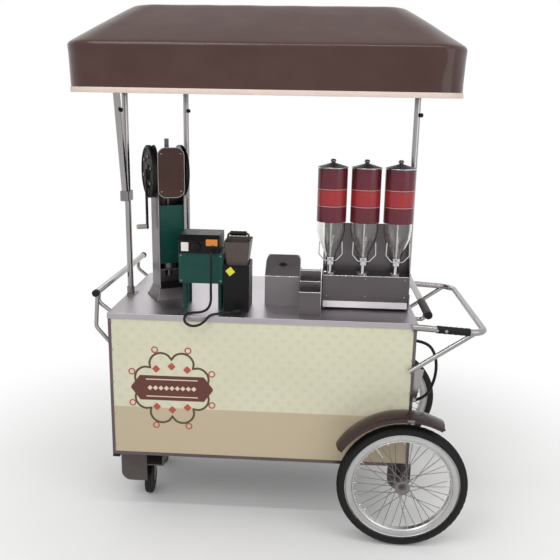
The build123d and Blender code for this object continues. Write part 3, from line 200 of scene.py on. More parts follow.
def vinyl_sheet(name):
    """Calendered upholstery vinyl: chocolate, glossy, with a shallow leather emboss and soft waviness."""
    mat, tree, shader, where = begin_finish(name, Specular_IOR_Level=0.16, Coat_Weight=0.45,
                                            Coat_Roughness=0.12)
    looks = bpy.context.scene.cart_canopy
    tone = mottle(tree, shader, where, "#2e1813", "#573b35", 240.0, (0.26, 0.40), 2.4, 0.12)
    cloud = add(tree, "ShaderNodeTexNoise", {"Vector": where, "Scale": per_mm(90.0), "Detail": 2.0})
    share = add(tree, "ShaderNodeMapRange", {"Value": cloud.outputs[0], "To Min": 0.25, "To Max": 0.75})
    deep = add(tree, "ShaderNodeMix", {0: share.outputs[0], 6: tone, 7: (*looks.colour, 1.0)},
               data_type="RGBA")
    tree.links.new(deep.outputs[2], shader.inputs["Base Color"])
    # leather emboss, cells about 1.6 mm, drawn at 4 mm so that it shows
    cells = add(tree, "ShaderNodeTexVoronoi", {"Vector": where, "Scale": per_mm(4.0)},
                feature="DISTANCE_TO_EDGE")
    pore = add(tree, "ShaderNodeMapRange", {"Value": cells.outputs["Distance"], "From Max": 0.25})
    grain = add(tree, "ShaderNodeBump", {"Height": pore.outputs[0], "Strength": 0.25, "Distance": 0.15 * MM})
    wave = add(tree, "ShaderNodeTexNoise", {"Vector": where, "Scale": per_mm(120.0), "Detail": 1.0})
    bump = add(tree, "ShaderNodeBump", {"Height": wave.outputs[0], "Strength": 0.6, "Distance": 6.0 * MM,
                                        "Normal": grain.outputs[0]})
    tree.links.new(bump.outputs[0], shader.inputs["Normal"])
    return mat


def clear_acrylic(name):
    """Cast clear acrylic tube: see-through with a faint grey tint and fine handling haze."""
    mat, tree, shader, where = begin_finish(name, IOR=1.49, Transmission_Weight=1.0)
    shader.inputs["Base Color"].default_value = linear("#f6f5f3")
    haze = add(tree, "ShaderNodeTexNoise", {"Vector": where, "Scale": per_mm(30.0), "Detail": 5.0})
    spread = add(tree, "ShaderNodeMapRange", {"Value": haze.outputs[0], "From Min": 0.35, "From Max": 0.75,
                                              "To Min": 0.01, "To Max": 0.07})
    tree.links.new(spread.outputs[0], shader.inputs["Roughness"])
    return mat


FINISH = {}


def make_finishes():
    """Fills FINISH with the cart's materials, each named for what it is made of, and for its painted light
    where it has some.
    """
    # stainless counter sheet, worn dull by wiping and faintly scratched along its length
    FINISH["counter"] = brushed("stainless_counter_sheet", "#a19ca2", "#bdb8ba", (0.30, 0.46),
                                (0.04, 1.0, 1.0))
    # stainless sheet of the press, brushed upright; its tones are darkened as painted reflection, for the
    # dark that the column's sides mirror
    FINISH["sheet"] = brushed("press_sheet_painted_dark_reflection", "#585254", "#706a6b", (0.27, 0.44), (1.0, 1.0, 0.04))
    # satin sheet of the box and the hopper lids, blasted so that it takes light from all round
    FINISH["satin"] = brushed("stainless_satin_sheet", "#787376", "#918c8e", (0.46, 0.60), (1.0, 1.0, 0.10))
    # the sheet of the dispenser and the trays, its tones darkened as painted reflection, for the dark that
    # the base's front mirrors
    FINISH["dull"] = brushed("dispenser_sheet_painted_dark_reflection", "#575254", "#6d6769", (0.26, 0.42), (1.0, 1.0, 0.04))
    # drawn stainless tube of posts and bars, its streaks too fine to see, so that mostly smears show
    FINISH["tube"] = brushed("stainless_drawn_tube", "#8e8b8b", "#aaa7a6", (0.12, 0.28), (1.0, 1.0, 0.06))
    # bright chrome plate on the valves, nipples and rolled edges
    FINISH["chrome"] = cloudy("chrome_plate", "#b9b8b8", "#d2d1d0", 30.0, (0.05, 0.14), 1.5, 0.01,
                              Metallic=1.0)
    # zinc-plated steel on pins, stays, forks, hubs and spokes: grey, slightly dull
    FINISH["zinc"] = cloudy("zinc_plated_steel", "#767271", "#8d8988", 25.0, (0.30, 0.46), 1.4, 0.04,
                            Metallic=1.0)
    # folded steel edges of the press, paler than its sheet as painted highlight along the edges, kept dull
    # enough to stay grey
    FINISH["edge_steel"] = cloudy("steel_edge_painted_highlight", "#8f8684", "#a79d9a", 20.0, (0.34, 0.50), 1.2, 0.03,
                                  Metallic=1.0)
    # dark phosphated plate of the axle brackets
    FINISH["plate"] = cloudy("dark_phosphated_steel", "#4a4545", "#5b5655", 25.0, (0.36, 0.52), 1.4, 0.06,
                             Metallic=1.0)
    # extruded rim aluminium, satin
    FINISH["rim"] = cloudy("satin_rim_aluminium", "#b4b3b3", "#c8c7c6", 40.0, (0.24, 0.38), 1.2, 0.02,
                           Metallic=1.0)
    # galvanised floor sheet under the cabinet: spangled grey
    FINISH["floor"] = cloudy("galvanised_floor_sheet", "#767675", "#908f8f", 22.0, (0.32, 0.5), 3.0, 0.03,
                             Metallic=1.0)
    # painted steel frame, mauve grey
    FINISH["frame"] = cloudy("grey_frame_enamel", "#5c5352", "#6a605f", 70.0, (0.36, 0.52), 1.2, 0.05,
                             Specular_IOR_Level=0.3)
    # aluminium angles at the cabinet's edges, anodised mauve grey and a little scuffed
    FINISH["edge"] = brushed("anodised_edge_angle", "#5f5356", "#776a6d", (0.26, 0.42), (1.0, 1.0, 0.08))
    FINISH["panel"] = printed_panel("printed_panel_film")
    FINISH["vinyl"] = vinyl_sheet("brown_canopy_vinyl")
    # pale hem binding of the canopy
    FINISH["hem"] = cloudy("cream_binding_vinyl", "#cdb9ae", "#dac9bf", 40.0, (0.40, 0.54), 1.4, 0.08,
                           Specular_IOR_Level=0.3)
    # pressed fender sheet in glossy brown enamel with slight orange peel
    FINISH["brown"] = cloudy("brown_gloss_enamel", "#271516", "#331d1d", 90.0, (0.20, 0.32), 5.0, 0.06,
                             Specular_IOR_Level=0.4, Coat_Weight=0.2, Coat_Roughness=0.08)
    # brown enamel on the press cover, satin
    FINISH["cover"] = cloudy("brown_satin_enamel", "#3a241d", "#4a2f26", 60.0, (0.34, 0.48), 2.5, 0.06,
                             Specular_IOR_Level=0.25)
    # dark green stove enamel, mottled in tone
    FINISH["green"] = cloudy("dark_green_enamel", "#0a332e", "#154c43", 45.0, (0.30, 0.46), 3.0, 0.08,
                             Specular_IOR_Level=0.25)
    # cast iron discs in black paint, sandy
    FINISH["iron"] = cloudy("black_painted_iron", "#0f0e0e", "#1c1a19", 14.0, (0.42, 0.60), 1.1, 0.15,
                            Specular_IOR_Level=0.2)
    # moulded black ABS of the fryer's head and tank
    FINISH["abs"] = cloudy("black_moulded_plastic", "#08080a", "#121214", 30.0, (0.36, 0.52), 0.9, 0.05,
                           Specular_IOR_Level=0.2)
    # black dip-moulded end caps, glands and clips
    FINISH["dark"] = cloudy("black_nylon_fitting", "#121213", "#1e1d1e", 18.0, (0.44, 0.60), 1.0, 0.06,
                            Specular_IOR_Level=0.2)
    # a dull dark grey sleeve on the right rail, taken as closed-cell foam; its dark grey is partly painted
    # shade, for the rail's steel in shadow
    FINISH["foam"] = cloudy("dark_grey_foam_and_painted_shade", "#4a4544", "#585150", 9.0, (0.62, 0.8), 1.6, 0.2,
                            Specular_IOR_Level=0.2)
    # light grey plastic grip
    FINISH["grip"] = cloudy("grey_grip_plastic", "#98938c", "#aca79f", 20.0, (0.40, 0.55), 1.0, 0.06,
                            Specular_IOR_Level=0.3)
    # taupe enamelled hopper basket
    FINISH["taupe"] = cloudy("taupe_enamel_sheet", "#4a403b", "#5c514a", 35.0, (0.34, 0.48), 1.8, 0.06,
                             Specular_IOR_Level=0.25)
    # vulcanised tyre rubber, dusty
    FINISH["tyre"] = cloudy("tyre_rubber", "#0f0f10", "#1c1b1b", 26.0, (0.56, 0.76), 1.2, 0.18,
                            Specular_IOR_Level=0.25)
    # caster tread, harder and smoother
    FINISH["caster_rubber"] = cloudy("caster_rubber", "#131212", "#201f1e", 16.0, (0.48, 0.66), 1.0, 0.10,
                                     Specular_IOR_Level=0.25)
    # grey-taupe paint on caster brackets
    FINISH["caster"] = cloudy("taupe_bracket_paint", "#4c4644", "#5d5653", 24.0, (0.36, 0.52), 1.5, 0.08,
                              Specular_IOR_Level=0.3)
    # soft PVC cord jacket
    FINISH["cord"] = cloudy("black_cord_jacket", "#0b0b0c", "#151516", 12.0, (0.36, 0.50), 0.9, 0.03,
                            Specular_IOR_Level=0.25)
    FINISH["wrap"] = wrap_print("burgundy_wrap_film")
    FINISH["clear"] = clear_acrylic("clear_cast_acrylic")
    # blank label stock in three colours: matt coated paper film
    FINISH["orange_patch"] = cloudy("orange_label_film", "#c9782a", "#d88834", 20.0, (0.34, 0.46), 0.9, 0.02)
    FINISH["white_patch"] = cloudy("white_label_film", "#d5d2cb", "#e2dfd8", 20.0, (0.34, 0.46), 0.9, 0.02)
    FINISH["yellow_patch"] = cloudy("yellow_label_film", "#d2c92c", "#dfd63e", 20.0, (0.34, 0.46), 0.9, 0.02)
    # printed plaque film: warm brown ground, paler ornament
    FINISH["plaque"] = cloudy("brown_print_film", "#55291f", "#653226", 40.0, (0.30, 0.44), 1.2, 0.02)
    FINISH["plaque_edge"] = cloudy("olive_print_film", "#4d4029", "#574930", 40.0, (0.32, 0.44), 1.2, 0.02)
    FINISH["plaque_line"] = cloudy("cream_print_film", "#d8c3a8", "#e2d0b8", 30.0, (0.32, 0.44), 1.2, 0.02)
    FINISH["plaque_dot"] = cloudy("red_print_film", "#a8463a", "#b85646", 30.0, (0.32, 0.44), 1.2, 0.02)


NODE_FINISH = {
    "frame": ("base_frame",),
    "floor": ("cabinet_floor",),
    "panel": ("front_panel", "side_panels", "rear_door_left", "rear_door_right"),
    "edge": ("edge_trim",),
    "counter": ("counter_top",),
    "sheet": ("press_frame", "press_rack", "press_cylinder"),
    "satin": ("sugar_box", "hopper_lid_1", "hopper_lid_2", "hopper_lid_3"),
    "dull": ("dispenser_base", "tray_stack"),
    "tube": ("push_bars", "bar_arms", "canopy_posts", "canopy_frame", "door_handle_left",
             "door_handle_right"),
    "zinc": ("door_hinge_pins", "wheel_axle", "fender_stays", "caster_fork_front", "caster_fork_rear",
             "post_fittings", "front_hub", "rear_hub"),
    "plate": ("axle_brackets",),
    "chrome": ("valve_bodies", "valve_lever_1", "valve_lever_2", "valve_lever_3"),
    "rim": ("front_rim", "rear_rim"),
    "tyre": ("front_tyre", "rear_tyre"),
    "brown": ("fenders",),
    "caster": ("caster_plates",),
    "caster_rubber": ("caster_wheel_front", "caster_wheel_rear"),
    "dark": ("bar_end_caps", "cable_glands"),
    "vinyl": ("canopy_cover",),
    "cover": ("press_cover",),
    "green": ("press_panel", "fryer_casing"),
    "iron": ("press_crank",),
    "grip": ("press_grip",),
    "abs": ("fryer_body", "fryer_knob", "fryer_plug"),
    "taupe": ("fryer_basket",),
    "cord": ("fryer_lead", "side_cable"),
    "clear": ("filling_hoppers",),
    "wrap": ("hopper_wraps",),
}


# Modelling


RIGHT = (1.0, 0.0, 0.0)
FRONT = (0.0, -1.0, 0.0)


def alone(*objs):
    """Leaves Edit Mode and leaves only these objects selected, the first of them active."""
    if bpy.context.mode != "OBJECT":
        bpy.ops.object.mode_set(mode="OBJECT")
    bpy.ops.object.select_all(action="DESELECT")
    for obj in objs:
        obj.select_set(True)
    if objs:
        bpy.context.view_layer.objects.active = objs[0]


def opened(scale=(1.0, 1.0, 1.0)):
    """Applies the new primitive's place and scale, and opens it in Edit Mode, all selected."""
    obj = bpy.context.object
    alone(obj)
    obj.scale = scale
    bpy.ops.object.transform_apply(location=True, rotation=True, scale=True)
    bpy.ops.object.mode_set(mode="EDIT")
    bpy.ops.mesh.select_all(action="SELECT")
    return obj


def pick(obj, kind, test):
    """In Edit Mode, selects just the faces, edges or vertices that pass the test.

    The test gets a face's middle and normal, an edge's two ends, or a vertex's place."""
    bpy.ops.mesh.select_mode(type=kind)
    bpy.ops.mesh.select_all(action="DESELECT")
    mesh = bmesh.from_edit_mesh(obj.data)
    if kind == "FACE":
        chosen = [face for face in mesh.faces if test(face.calc_center_median(), face.normal)]
    elif kind == "EDGE":
        chosen = [edge for edge in mesh.edges if test(edge.verts[0].co, edge.verts[1].co)]
    else:
        chosen = [vert for vert in mesh.verts if test(vert.co)]
    for item in chosen:
        item.select_set(True)
    bmesh.update_edit_mesh(obj.data)


def moved(offset):
    """In Edit Mode, moves what is selected."""
    bpy.ops.transform.translate(value=offset)


def resized(shares, about=(0.0, 0.0, 0.0)):
    """In Edit Mode, scales what is selected about a point."""
    bpy.ops.transform.resize(value=shares, center_override=about)


def drawn_up(rise):
    """In Edit Mode, extrudes the selected faces along Z."""
    bpy.ops.mesh.extrude_region_move(TRANSFORM_OT_translate={"value": (0.0, 0.0, rise)})


def drawn_out(offset):
    """In Edit Mode, extrudes the selected edges."""
    bpy.ops.mesh.extrude_edges_move(TRANSFORM_OT_translate={"value": offset})


def faced_out():
    """In Edit Mode, selects the whole mesh and turns its faces outwards."""
    bpy.ops.mesh.select_all(action="SELECT")
    bpy.ops.mesh.normals_make_consistent(inside=False)


def modified(obj, kind, **settings):
    """Adds a modifier with these settings and applies it."""
    alone(obj)
    mod = obj.modifiers.new(kind.title(), kind)
    for name, value in settings.items():
        setattr(mod, name, value)
    bpy.ops.object.modifier_apply(modifier=mod.name)


def copied(obj, turn):
    """A copy of a piece with its own mesh, moved by a matrix."""
    twin = obj.copy()
    twin.data = obj.data.copy()
    twin.data.transform(turn)
    bpy.context.collection.objects.link(twin)
    return twin


def joined(objs):
    """One piece made of these."""
    alone(*objs)
    if len(objs) > 1:
        bpy.ops.object.join()
    return bpy.context.object


def scattered(piece, matrices):
    """One piece made of copies of another, which is used up."""
    copies = [copied(piece, matrix) for matrix in matrices]
    bpy.data.objects.remove(piece)
    return joined(copies)


def settled(obj, name, body, finish, angle=35.0, replaces=()):
    """Names a finished piece, smooths it, gives it its finish, and lets it ride on its body."""
    alone(obj)
    if obj.type == "MESH":
        bpy.ops.object.transform_apply(location=True, rotation=True, scale=True)
        bpy.ops.object.shade_smooth_by_angle(angle=radians(angle))
    obj.name = name
    obj.data.name = name
    obj.data.materials.clear()
    obj.data.materials.append(FINISH[finish])
    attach(obj, body)
    if replaces:
        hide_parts(*replaces)
    alone()
    return obj


def turned(degrees):
    """A turn about the Z axis as a matrix."""
    return Matrix.Rotation(radians(degrees), 4, "Z")


def facing(direction):
    """The rotation that turns the Z axis to a direction."""
    return Vector(direction).to_track_quat("Z", "Y").to_matrix().to_4x4()


def seat(place, direction):
    """The matrix that takes a piece drawn on the origin to a place, its Z axis along a direction."""
    return Matrix.Translation(place) @ facing(direction)


def placed(obj, matrix):
    """Moves a piece's mesh by a matrix."""
    alone(obj)
    obj.data.transform(matrix)
    return obj


def nurbs_route(name, points, radius):
    """A round cord as one NURBS spline whose control points are the route's points, in millimetres."""
    data = bpy.data.curves.new(name, "CURVE")
    data.dimensions = "3D"
    spline = data.splines.new("NURBS")
    spline.points.add(len(points) - 1)
    for point, place in zip(spline.points, points):
        point.co = (*at(*place), 1.0)
    spline.order_u = 3
    spline.use_endpoint_u = True
    spline.resolution_u = 10
    data.bevel_depth = radius * MM
    data.bevel_resolution = 5
    data.use_fill_caps = True
    obj = bpy.data.objects.new(name, data)
    bpy.context.collection.objects.link(obj)
    return obj


def stepped(radius, rings, sides):
    """A turned piece standing on the origin: a round, or a hexagon with six sides, drawn up ring by ring.

    Each ring is the outline's share of the radius and the rise to it."""
    alone()
    bpy.ops.mesh.primitive_circle_add(vertices=sides, radius=radius, fill_type="NGON")
    piece = opened()
    last = 1.0
    for share, rise in rings:
        drawn_up(rise)
        resized((share / last, share / last, 1.0))
        last = share
    faced_out()
    alone(piece)
    return piece


def slab(half_x, half_y, corner, thick):
    """A thin rounded plate lying on the origin, its edge broken."""
    alone()
    bpy.ops.mesh.primitive_plane_add(size=2.0)
    piece = opened((half_x, half_y, 1.0))
    bpy.ops.mesh.bevel(offset=corner, segments=5, affect="VERTICES")
    bpy.ops.mesh.select_all(action="SELECT")
    drawn_up(thick * 0.7)
    bpy.ops.mesh.inset(thickness=min(corner, thick) * 0.4)
    moved((0.0, 0.0, thick * 0.3))
    faced_out()
    alone(piece)
    return piece


def sleeve(radius, length, grooves=0):
    """A round sleeve along Z about the origin, its ends rounded over, with so many shallow grooves."""
    alone()
    bpy.ops.mesh.primitive_cylinder_add(vertices=32, radius=radius, depth=length)
    piece = opened()
    pick(piece, "EDGE", lambda a, b: abs(a.z - b.z) > 0.5 * length)
    bpy.ops.mesh.subdivide(number_cuts=4 * grooves + 3)
    step = length / (4 * grooves + 4)
    for i in range(grooves):
        level = -length / 2 + step * (4 * i + 4)
        pick(piece, "VERT", lambda co: abs(co.z - level) < step * 0.1)
        resized((0.93, 0.93, 1.0))
    for side in (-1.0, 1.0):
        for thick, push in ((radius * 0.10, 0.0), (radius * 0.12, radius * 0.14)):
            pick(piece, "FACE", lambda c, n: n.z * side > 0.9)
            bpy.ops.mesh.inset(thickness=thick)
            moved((0.0, 0.0, side * push))
    alone(piece)
    return piece


def hoop(radius, thick, segments, sides, squash=1.0):
    """A ring about the Z axis, its section squashed along Z, open in Edit Mode, all selected."""
    alone()
    bpy.ops.mesh.primitive_torus_add(major_segments=segments, minor_segments=sides, major_radius=radius,
                                     minor_radius=thick)
    return opened((1.0, 1.0, squash))


# Sizes and colours that a user would change


class CartCanopySettings(bpy.types.PropertyGroup):
    half_length: FloatProperty(name="Half Length", description="Half the cover's length at the eave",
                               default=0.710, unit="LENGTH")
    half_depth: FloatProperty(name="Half Depth", description="Half the cover's depth at the eave",
                              default=0.410, unit="LENGTH")
    corner: FloatProperty(name="Corner", description="Radius of the cover's corners",
                          default=0.110, unit="LENGTH")
    hem: FloatProperty(name="Hem Height", description="Height of the hem above the ground",
                       default=1.715, unit="LENGTH")
    lift: FloatProperty(name="Hem Lift", description="How much higher the hem is at the rear",
                        default=0.018, unit="LENGTH")
    eave: FloatProperty(name="Eave Height", description="Height of the eave above the ground",
                        default=1.885, unit="LENGTH")
    roof: FloatProperty(name="Roof Height", description="Height of the roof above the ground",
                        default=2.040, unit="LENGTH")
    slope: FloatProperty(name="Slope Run", description="Level distance from the eave to the roof's flat top",
                         default=0.210, unit="LENGTH")
    binding: FloatProperty(name="Binding", description="Height of the pale hem binding",
                           default=0.019, unit="LENGTH")
    colour: FloatVectorProperty(name="Vinyl", description="Colour of the cover", subtype="COLOR",
                                default=linear("#3a201a")[:3], min=0.0, max=1.0)


class CartPrintSettings(bpy.types.PropertyGroup):
    motif: FloatProperty(name="Motif", description="Spacing of the check's motifs",
                         default=0.040, unit="LENGTH")
    band: FloatProperty(name="Foot Band", description="Height above the ground where the plain band ends",
                        default=0.498, unit="LENGTH")
    emblem: FloatProperty(name="Emblem", description="Radius of the printed emblem's lobed frame",
                          default=0.160, unit="LENGTH")
    motif_colour: FloatVectorProperty(name="Motif Colour", description="Colour of the check's motifs",
                                      subtype="COLOR", default=linear("#c0c4aa")[:3], min=0.0, max=1.0)
    foot_colour: FloatVectorProperty(name="Foot Colour", description="Colour of the plain band at the foot",
                                     subtype="COLOR", default=linear("#bfb196")[:3], min=0.0, max=1.0)


class CartWheelSettings(bpy.types.PropertyGroup):
    radius: FloatProperty(name="Tyre Radius", description="Radius over the tread",
                          default=0.254, unit="LENGTH")
    section: FloatProperty(name="Section", description="Height of the tyre's section",
                           default=0.051, unit="LENGTH")
    width: FloatProperty(name="Width", description="Width of the tyre", default=0.058, unit="LENGTH")
    groove: FloatProperty(name="Groove", description="Depth of the tread's grooves",
                          default=0.002, unit="LENGTH")
    spokes: IntProperty(name="Spokes", description="Number of spokes in a wheel", default=36, min=12)


class CartStageSettings(bpy.types.PropertyGroup):
    lens: FloatProperty(name="Lens", description="Focal length of the camera", default=45.1, unit="CAMERA")
    key: FloatProperty(name="Key", description="Power of the main soft light", default=27.0, unit="POWER")
    fill: FloatProperty(name="Fill", description="Power of the fill light", default=16.0, unit="POWER")
    strip: FloatProperty(name="Strip", description="Power of the strip light over the canopy's front eave",
                         default=16.0, unit="POWER")


# Cords


LEAD_ROUTE = (
    (-196, -277, 1139), (-196, -307, 1139), (-196, -327, 1117), (-194, -329, 1071), (-197, -327, 987),
    (-195, -329, 937), (-208, -331, 907), (-236, -332, 894), (-268, -337, 894), (-292, -355, 892),
    (-294, -378, 871), (-272, -385, 855), (-240, -385, 855), (-214, -380, 871), (-196, -361, 893),
    (-170, -345, 895), (-142, -338, 895), (-116, -334, 899),
)
CABLE_ROUTE = (
    (607.5, -270, 790), (658, -270, 784), (692, -270, 730), (698, -270, 660), (682, -270, 592),
    (652, -270, 547), (607.5, -270, 534),
)
RELIEF_PLACE = (-196, -289.5, 1139)


def lead_relief():
    """The strain relief over the lead where it leaves the fryer's head: a cone with four ribs."""
    alone()
    bpy.ops.mesh.primitive_cone_add(vertices=28, radius1=0.0105, radius2=0.0064, depth=0.024)
    relief = opened()
    bpy.ops.mesh.subdivide(number_cuts=1)
    pick(relief, "FACE", lambda c, n: n.z < -0.9)
    bpy.ops.mesh.inset(thickness=0.0015)
    moved((0.0, 0.0, -0.0015))
    ribs = []
    for i in range(4):
        ribs.append(hoop(0.0094 - 0.0008 * i, 0.0014, 28, 8))
        moved((0.0, 0.0, -0.007 + 0.005 * i))
    return placed(joined([relief] + ribs), seat(at(*RELIEF_PLACE), FRONT))


class CART_OT_cords(bpy.types.Operator):
    """The fryer's mains lead with its strain relief, and the cable on the right end"""
    bl_idname = "cart.cords"
    bl_label = "Cords"

    def execute(self, context):
        lead = nurbs_route("fryer_lead_cord", LEAD_ROUTE, 5.0)
        settled(lead, "fryer_lead_cord", "cart", "cord", replaces=("fryer_lead",))
        cable = nurbs_route("side_cable_cord", CABLE_ROUTE, 6.0)
        settled(cable, "side_cable_cord", "cart", "cord", replaces=("side_cable",))
        relief = settled(lead_relief(), "fryer_lead_relief", "cart", "cord")
        return {"FINISHED"}


# Canopy


VALANCE_RINGS = 9
VALANCE_FLARE = 0.004
# the rounded eave: its radius, how far its centre lies in from the outline and below the eave, its angles
EAVE_BEND = 0.022
EAVE_IN = 0.016
EAVE_DROP = 0.009
EAVE_ANGLES = (0, 14, 27, 40, 53)
# the valance ends this far below the centre of the eave's bend
VALANCE_STOP = 0.020
ROOF_SHARES = (0.14, 0.28, 0.42, 0.56, 0.7, 0.82, 0.92, 1.0)
ROOF_BULGE = 0.04
# each ring of the flat top as a share of the one before it
TOP_SHARES = (0.9, 0.8, 0.66, 0.5, 0.4)
# creases of the front valance: distance from the right end, height over the hem, push to the rear, reach
FRONT_CREASES = ((0.16, 0.05, 0.007, 0.055), (0.20, 0.10, 0.006, 0.050), (0.05, 0.12, -0.006, 0.060),
                 (0.46, 0.07, 0.005, 0.090), (0.85, 0.09, 0.005, 0.110), (1.20, 0.06, 0.006, 0.080))
# creases of the right end's valance: distance from the front, height over the hem, push to the left, reach
END_CREASES = ((0.30, 0.07, 0.006, 0.090), (0.58, 0.07, 0.006, 0.080))
# the vinyl hangs slack above this height over the hem
BOUND_HEM = 0.025
VINYL_THICK = 0.0016
BINDING_THICK = 0.0076
# the binding stands a little below the hem and inside the outline, so that it laps the vinyl's edge
BINDING_BELOW = 0.001
BINDING_IN = 0.0006


def eave_loop(grow, height):
    """The canopy's rounded outline as a loop of edges, open in Edit Mode, all selected."""
    looks = bpy.context.scene.cart_canopy
    alone()
    bpy.ops.mesh.primitive_plane_add(size=2.0)
    loop = opened((looks.half_length + grow, looks.half_depth + grow, 1.0))
    bpy.ops.mesh.bevel(offset=looks.corner + grow, segments=10, affect="VERTICES")
    # the four straight sides are cut up, so that the sheet can crease
    pick(loop, "EDGE", lambda a, b: (a - b).length > 0.25)
    bpy.ops.mesh.subdivide(number_cuts=35)
    bpy.ops.mesh.select_all(action="SELECT")
    bpy.ops.mesh.delete(type="ONLY_FACE")
    bpy.ops.mesh.select_all(action="SELECT")
    moved((X_SHIFT * MM, 0.0, height))
    return loop


def tipped(share, height):
    """Tips the selected loop up at the rear by a share of the hem's lift, about its front side."""
    looks = bpy.context.scene.cart_canopy
    angle = share * atan2(looks.lift, 2.0 * looks.half_depth)
    bpy.ops.transform.rotate(value=-angle, orient_axis="X",
                             center_override=(0.0, -looks.half_depth, height))


def cover_rings(looks):
    """The cover's rings over the hem, as (distance drawn in from the outline, height above the ground)."""
    centre = looks.eave - EAVE_DROP
    fall = centre - VALANCE_STOP - looks.hem
    rings = [(-VALANCE_FLARE * i / VALANCE_RINGS, looks.hem + fall * i / VALANCE_RINGS)
             for i in range(1, VALANCE_RINGS + 1)]
    rings += [(EAVE_IN - EAVE_BEND * cos(radians(a)), centre + EAVE_BEND * sin(radians(a)))
              for a in EAVE_ANGLES]
    inset, height = rings[-1]
    rings += [(inset + (looks.slope - inset) * t,
               height + (looks.roof - height) * ((1.0 + ROOF_BULGE) * t - ROOF_BULGE * t ** 4))
              for t in ROOF_SHARES]
    return rings


def cover_sheet(looks):
    """The cover drawn up from its hem, ring by ring, and closed at the top, open in Edit Mode."""
    middle = (X_SHIFT * MM, 0.0, 0.0)
    cover = eave_loop(0.0, looks.hem)
    tipped(1.0, looks.hem)
    last_inset, last_height = 0.0, looks.hem
    for count, (inset, height) in enumerate(cover_rings(looks)):
        drawn_out((0.0, 0.0, height - last_height))
        if count < VALANCE_RINGS:
            tipped(-1.0 / VALANCE_RINGS, height)
        resized(((looks.half_length - inset) / (looks.half_length - last_inset),
                 (looks.half_depth - inset) / (looks.half_depth - last_inset), 1.0), middle)
        last_inset, last_height = inset, height
    for share in TOP_SHARES:
        drawn_out((0.0, 0.0, 0.0))
        resized((share, share, 1.0), middle)
    bpy.ops.mesh.edge_face_add()
    bpy.ops.mesh.poke()
    faced_out()
    return cover


def creased(cover, place, push, reach):
    """Pushes the cover softly in or out about its vertex nearest to a place."""
    spot = Vector(place)
    places = [vert.co.copy() for vert in bmesh.from_edit_mesh(cover.data).verts]
    nearest = min(places, key=lambda co: (co - spot).length)
    pick(cover, "VERT", lambda co: (co - nearest).length < 1e-5)
    bpy.ops.transform.translate(value=push, use_proportional_edit=True, proportional_size=reach,
                                proportional_edit_falloff="SMOOTH")


class CART_OT_canopy(bpy.types.Operator):
    """The vinyl cover as one sheet with its valance, and the pale binding along its hem"""
    bl_idname = "cart.canopy"
    bl_label = "Canopy"

    def execute(self, context):
        looks = context.scene.cart_canopy
        cover = cover_sheet(looks)
        front, right = -looks.half_depth, looks.half_length + X_SHIFT * MM
        for along, over, push, reach in FRONT_CREASES:
            creased(cover, (right - along, front, looks.hem + over), (0.0, push, 0.0), reach)
        for along, over, push, reach in END_CREASES:
            creased(cover, (right, front + along, looks.hem + over), (-push, 0.0, 0.0), reach)
        # the sheet hangs slack everywhere but in the bound hem
        pick(cover, "VERT", lambda co: co.z > looks.hem + BOUND_HEM + looks.lift)
        bpy.ops.object.vertex_group_assign_new()
        alone(cover)
        slack = bpy.data.textures.new("vinyl_slack", "CLOUDS")
        slack.noise_scale = 0.16
        modified(cover, "DISPLACE", texture=slack, strength=0.005, mid_level=0.5, texture_coords="LOCAL",
                 vertex_group=cover.vertex_groups[0].name)
        bpy.ops.object.vertex_group_remove(all=True)
        modified(cover, "SUBSURF", levels=1, render_levels=1)
        modified(cover, "SOLIDIFY", thickness=VINYL_THICK, offset=-1.0)
        settled(cover, "canopy_vinyl", "cart", "vinyl", 60.0, replaces=("canopy_cover",))
        binding = eave_loop(-BINDING_IN, looks.hem - BINDING_BELOW)
        tipped(1.0, looks.hem - BINDING_BELOW)
        drawn_out((0.0, 0.0, looks.binding))
        alone(binding)
        modified(binding, "SOLIDIFY", thickness=BINDING_THICK, offset=0.0)
        modified(binding, "BEVEL", width=0.0012, segments=2)
        settled(binding, "canopy_hem_binding", "cart", "hem")
        return {"FINISHED"}


# Wheels


AXLE_X = 566
AXLE_Z = 254
WHEEL_PLACES = {"front": -440, "rear": 440}
# the tread's check, counted round the tyre and across it, where the tyre faces this much outwards
TREAD_STEPS = 108
TREAD_ROWS = 8
TREAD_FACING = 0.62
TYRE_SIDES = 28
# the tyre is cut off at its bead, which lies this far out from the section's inner end
BEAD_OUT = 0.019
# round the rim's two sides: radius and thickness of the outer lip, the groove line and the inner lip
RIM_HALF = 0.0158
RIM_LIPS = ((0.2165, 0.0030), (0.2010, 0.0014), (0.1915, 0.0026))
NIPPLE_RING = 0.1816
NIPPLE_SIDE = 0.0034
VALVE_RING = 0.168
VALVE_TURN = 125.0


def tyre_tread(looks):
    """The tyre with its tread blocks raised in a check and its bead closed."""
    half = looks.section / 2
    tyre = hoop(looks.radius - half, half - looks.groove, TREAD_STEPS, TYRE_SIDES,
                looks.width / looks.section)

    def blocks(middle, normal):
        """Every other face of the tread."""
        out = normal.x * middle.x + normal.y * middle.y
        step = int((atan2(middle.y, middle.x) + pi) / (2.0 * pi) * TREAD_STEPS)
        row = int((middle.z / looks.width + 0.5) * TREAD_ROWS)
        return out > TREAD_FACING * hypot(middle.x, middle.y) and (step + row) % 2

    pick(tyre, "FACE", blocks)
    bpy.ops.mesh.inset(thickness=0.0007, use_individual=True)
    bpy.ops.mesh.extrude_region_shrink_fatten(TRANSFORM_OT_shrink_fatten={"value": looks.groove})
    bead = looks.radius - looks.section + BEAD_OUT
    pick(tyre, "VERT", lambda co: hypot(co.x, co.y) < bead)
    bpy.ops.mesh.delete(type="VERT")
    bpy.ops.mesh.select_mode(type="EDGE")
    bpy.ops.mesh.select_non_manifold()
    bpy.ops.mesh.bridge_edge_loops()
    faced_out()
    alone(tyre)
    return tyre


def rim_lips():
    """The rolled lips and the groove line round the rim's two sides."""
    lips = []
    for side in (-1.0, 1.0):
        for radius, thick in RIM_LIPS:
            lips.append(hoop(radius, thick, 144, 10, 0.55))
            moved((0.0, 0.0, side * RIM_HALF))
    return joined(lips)


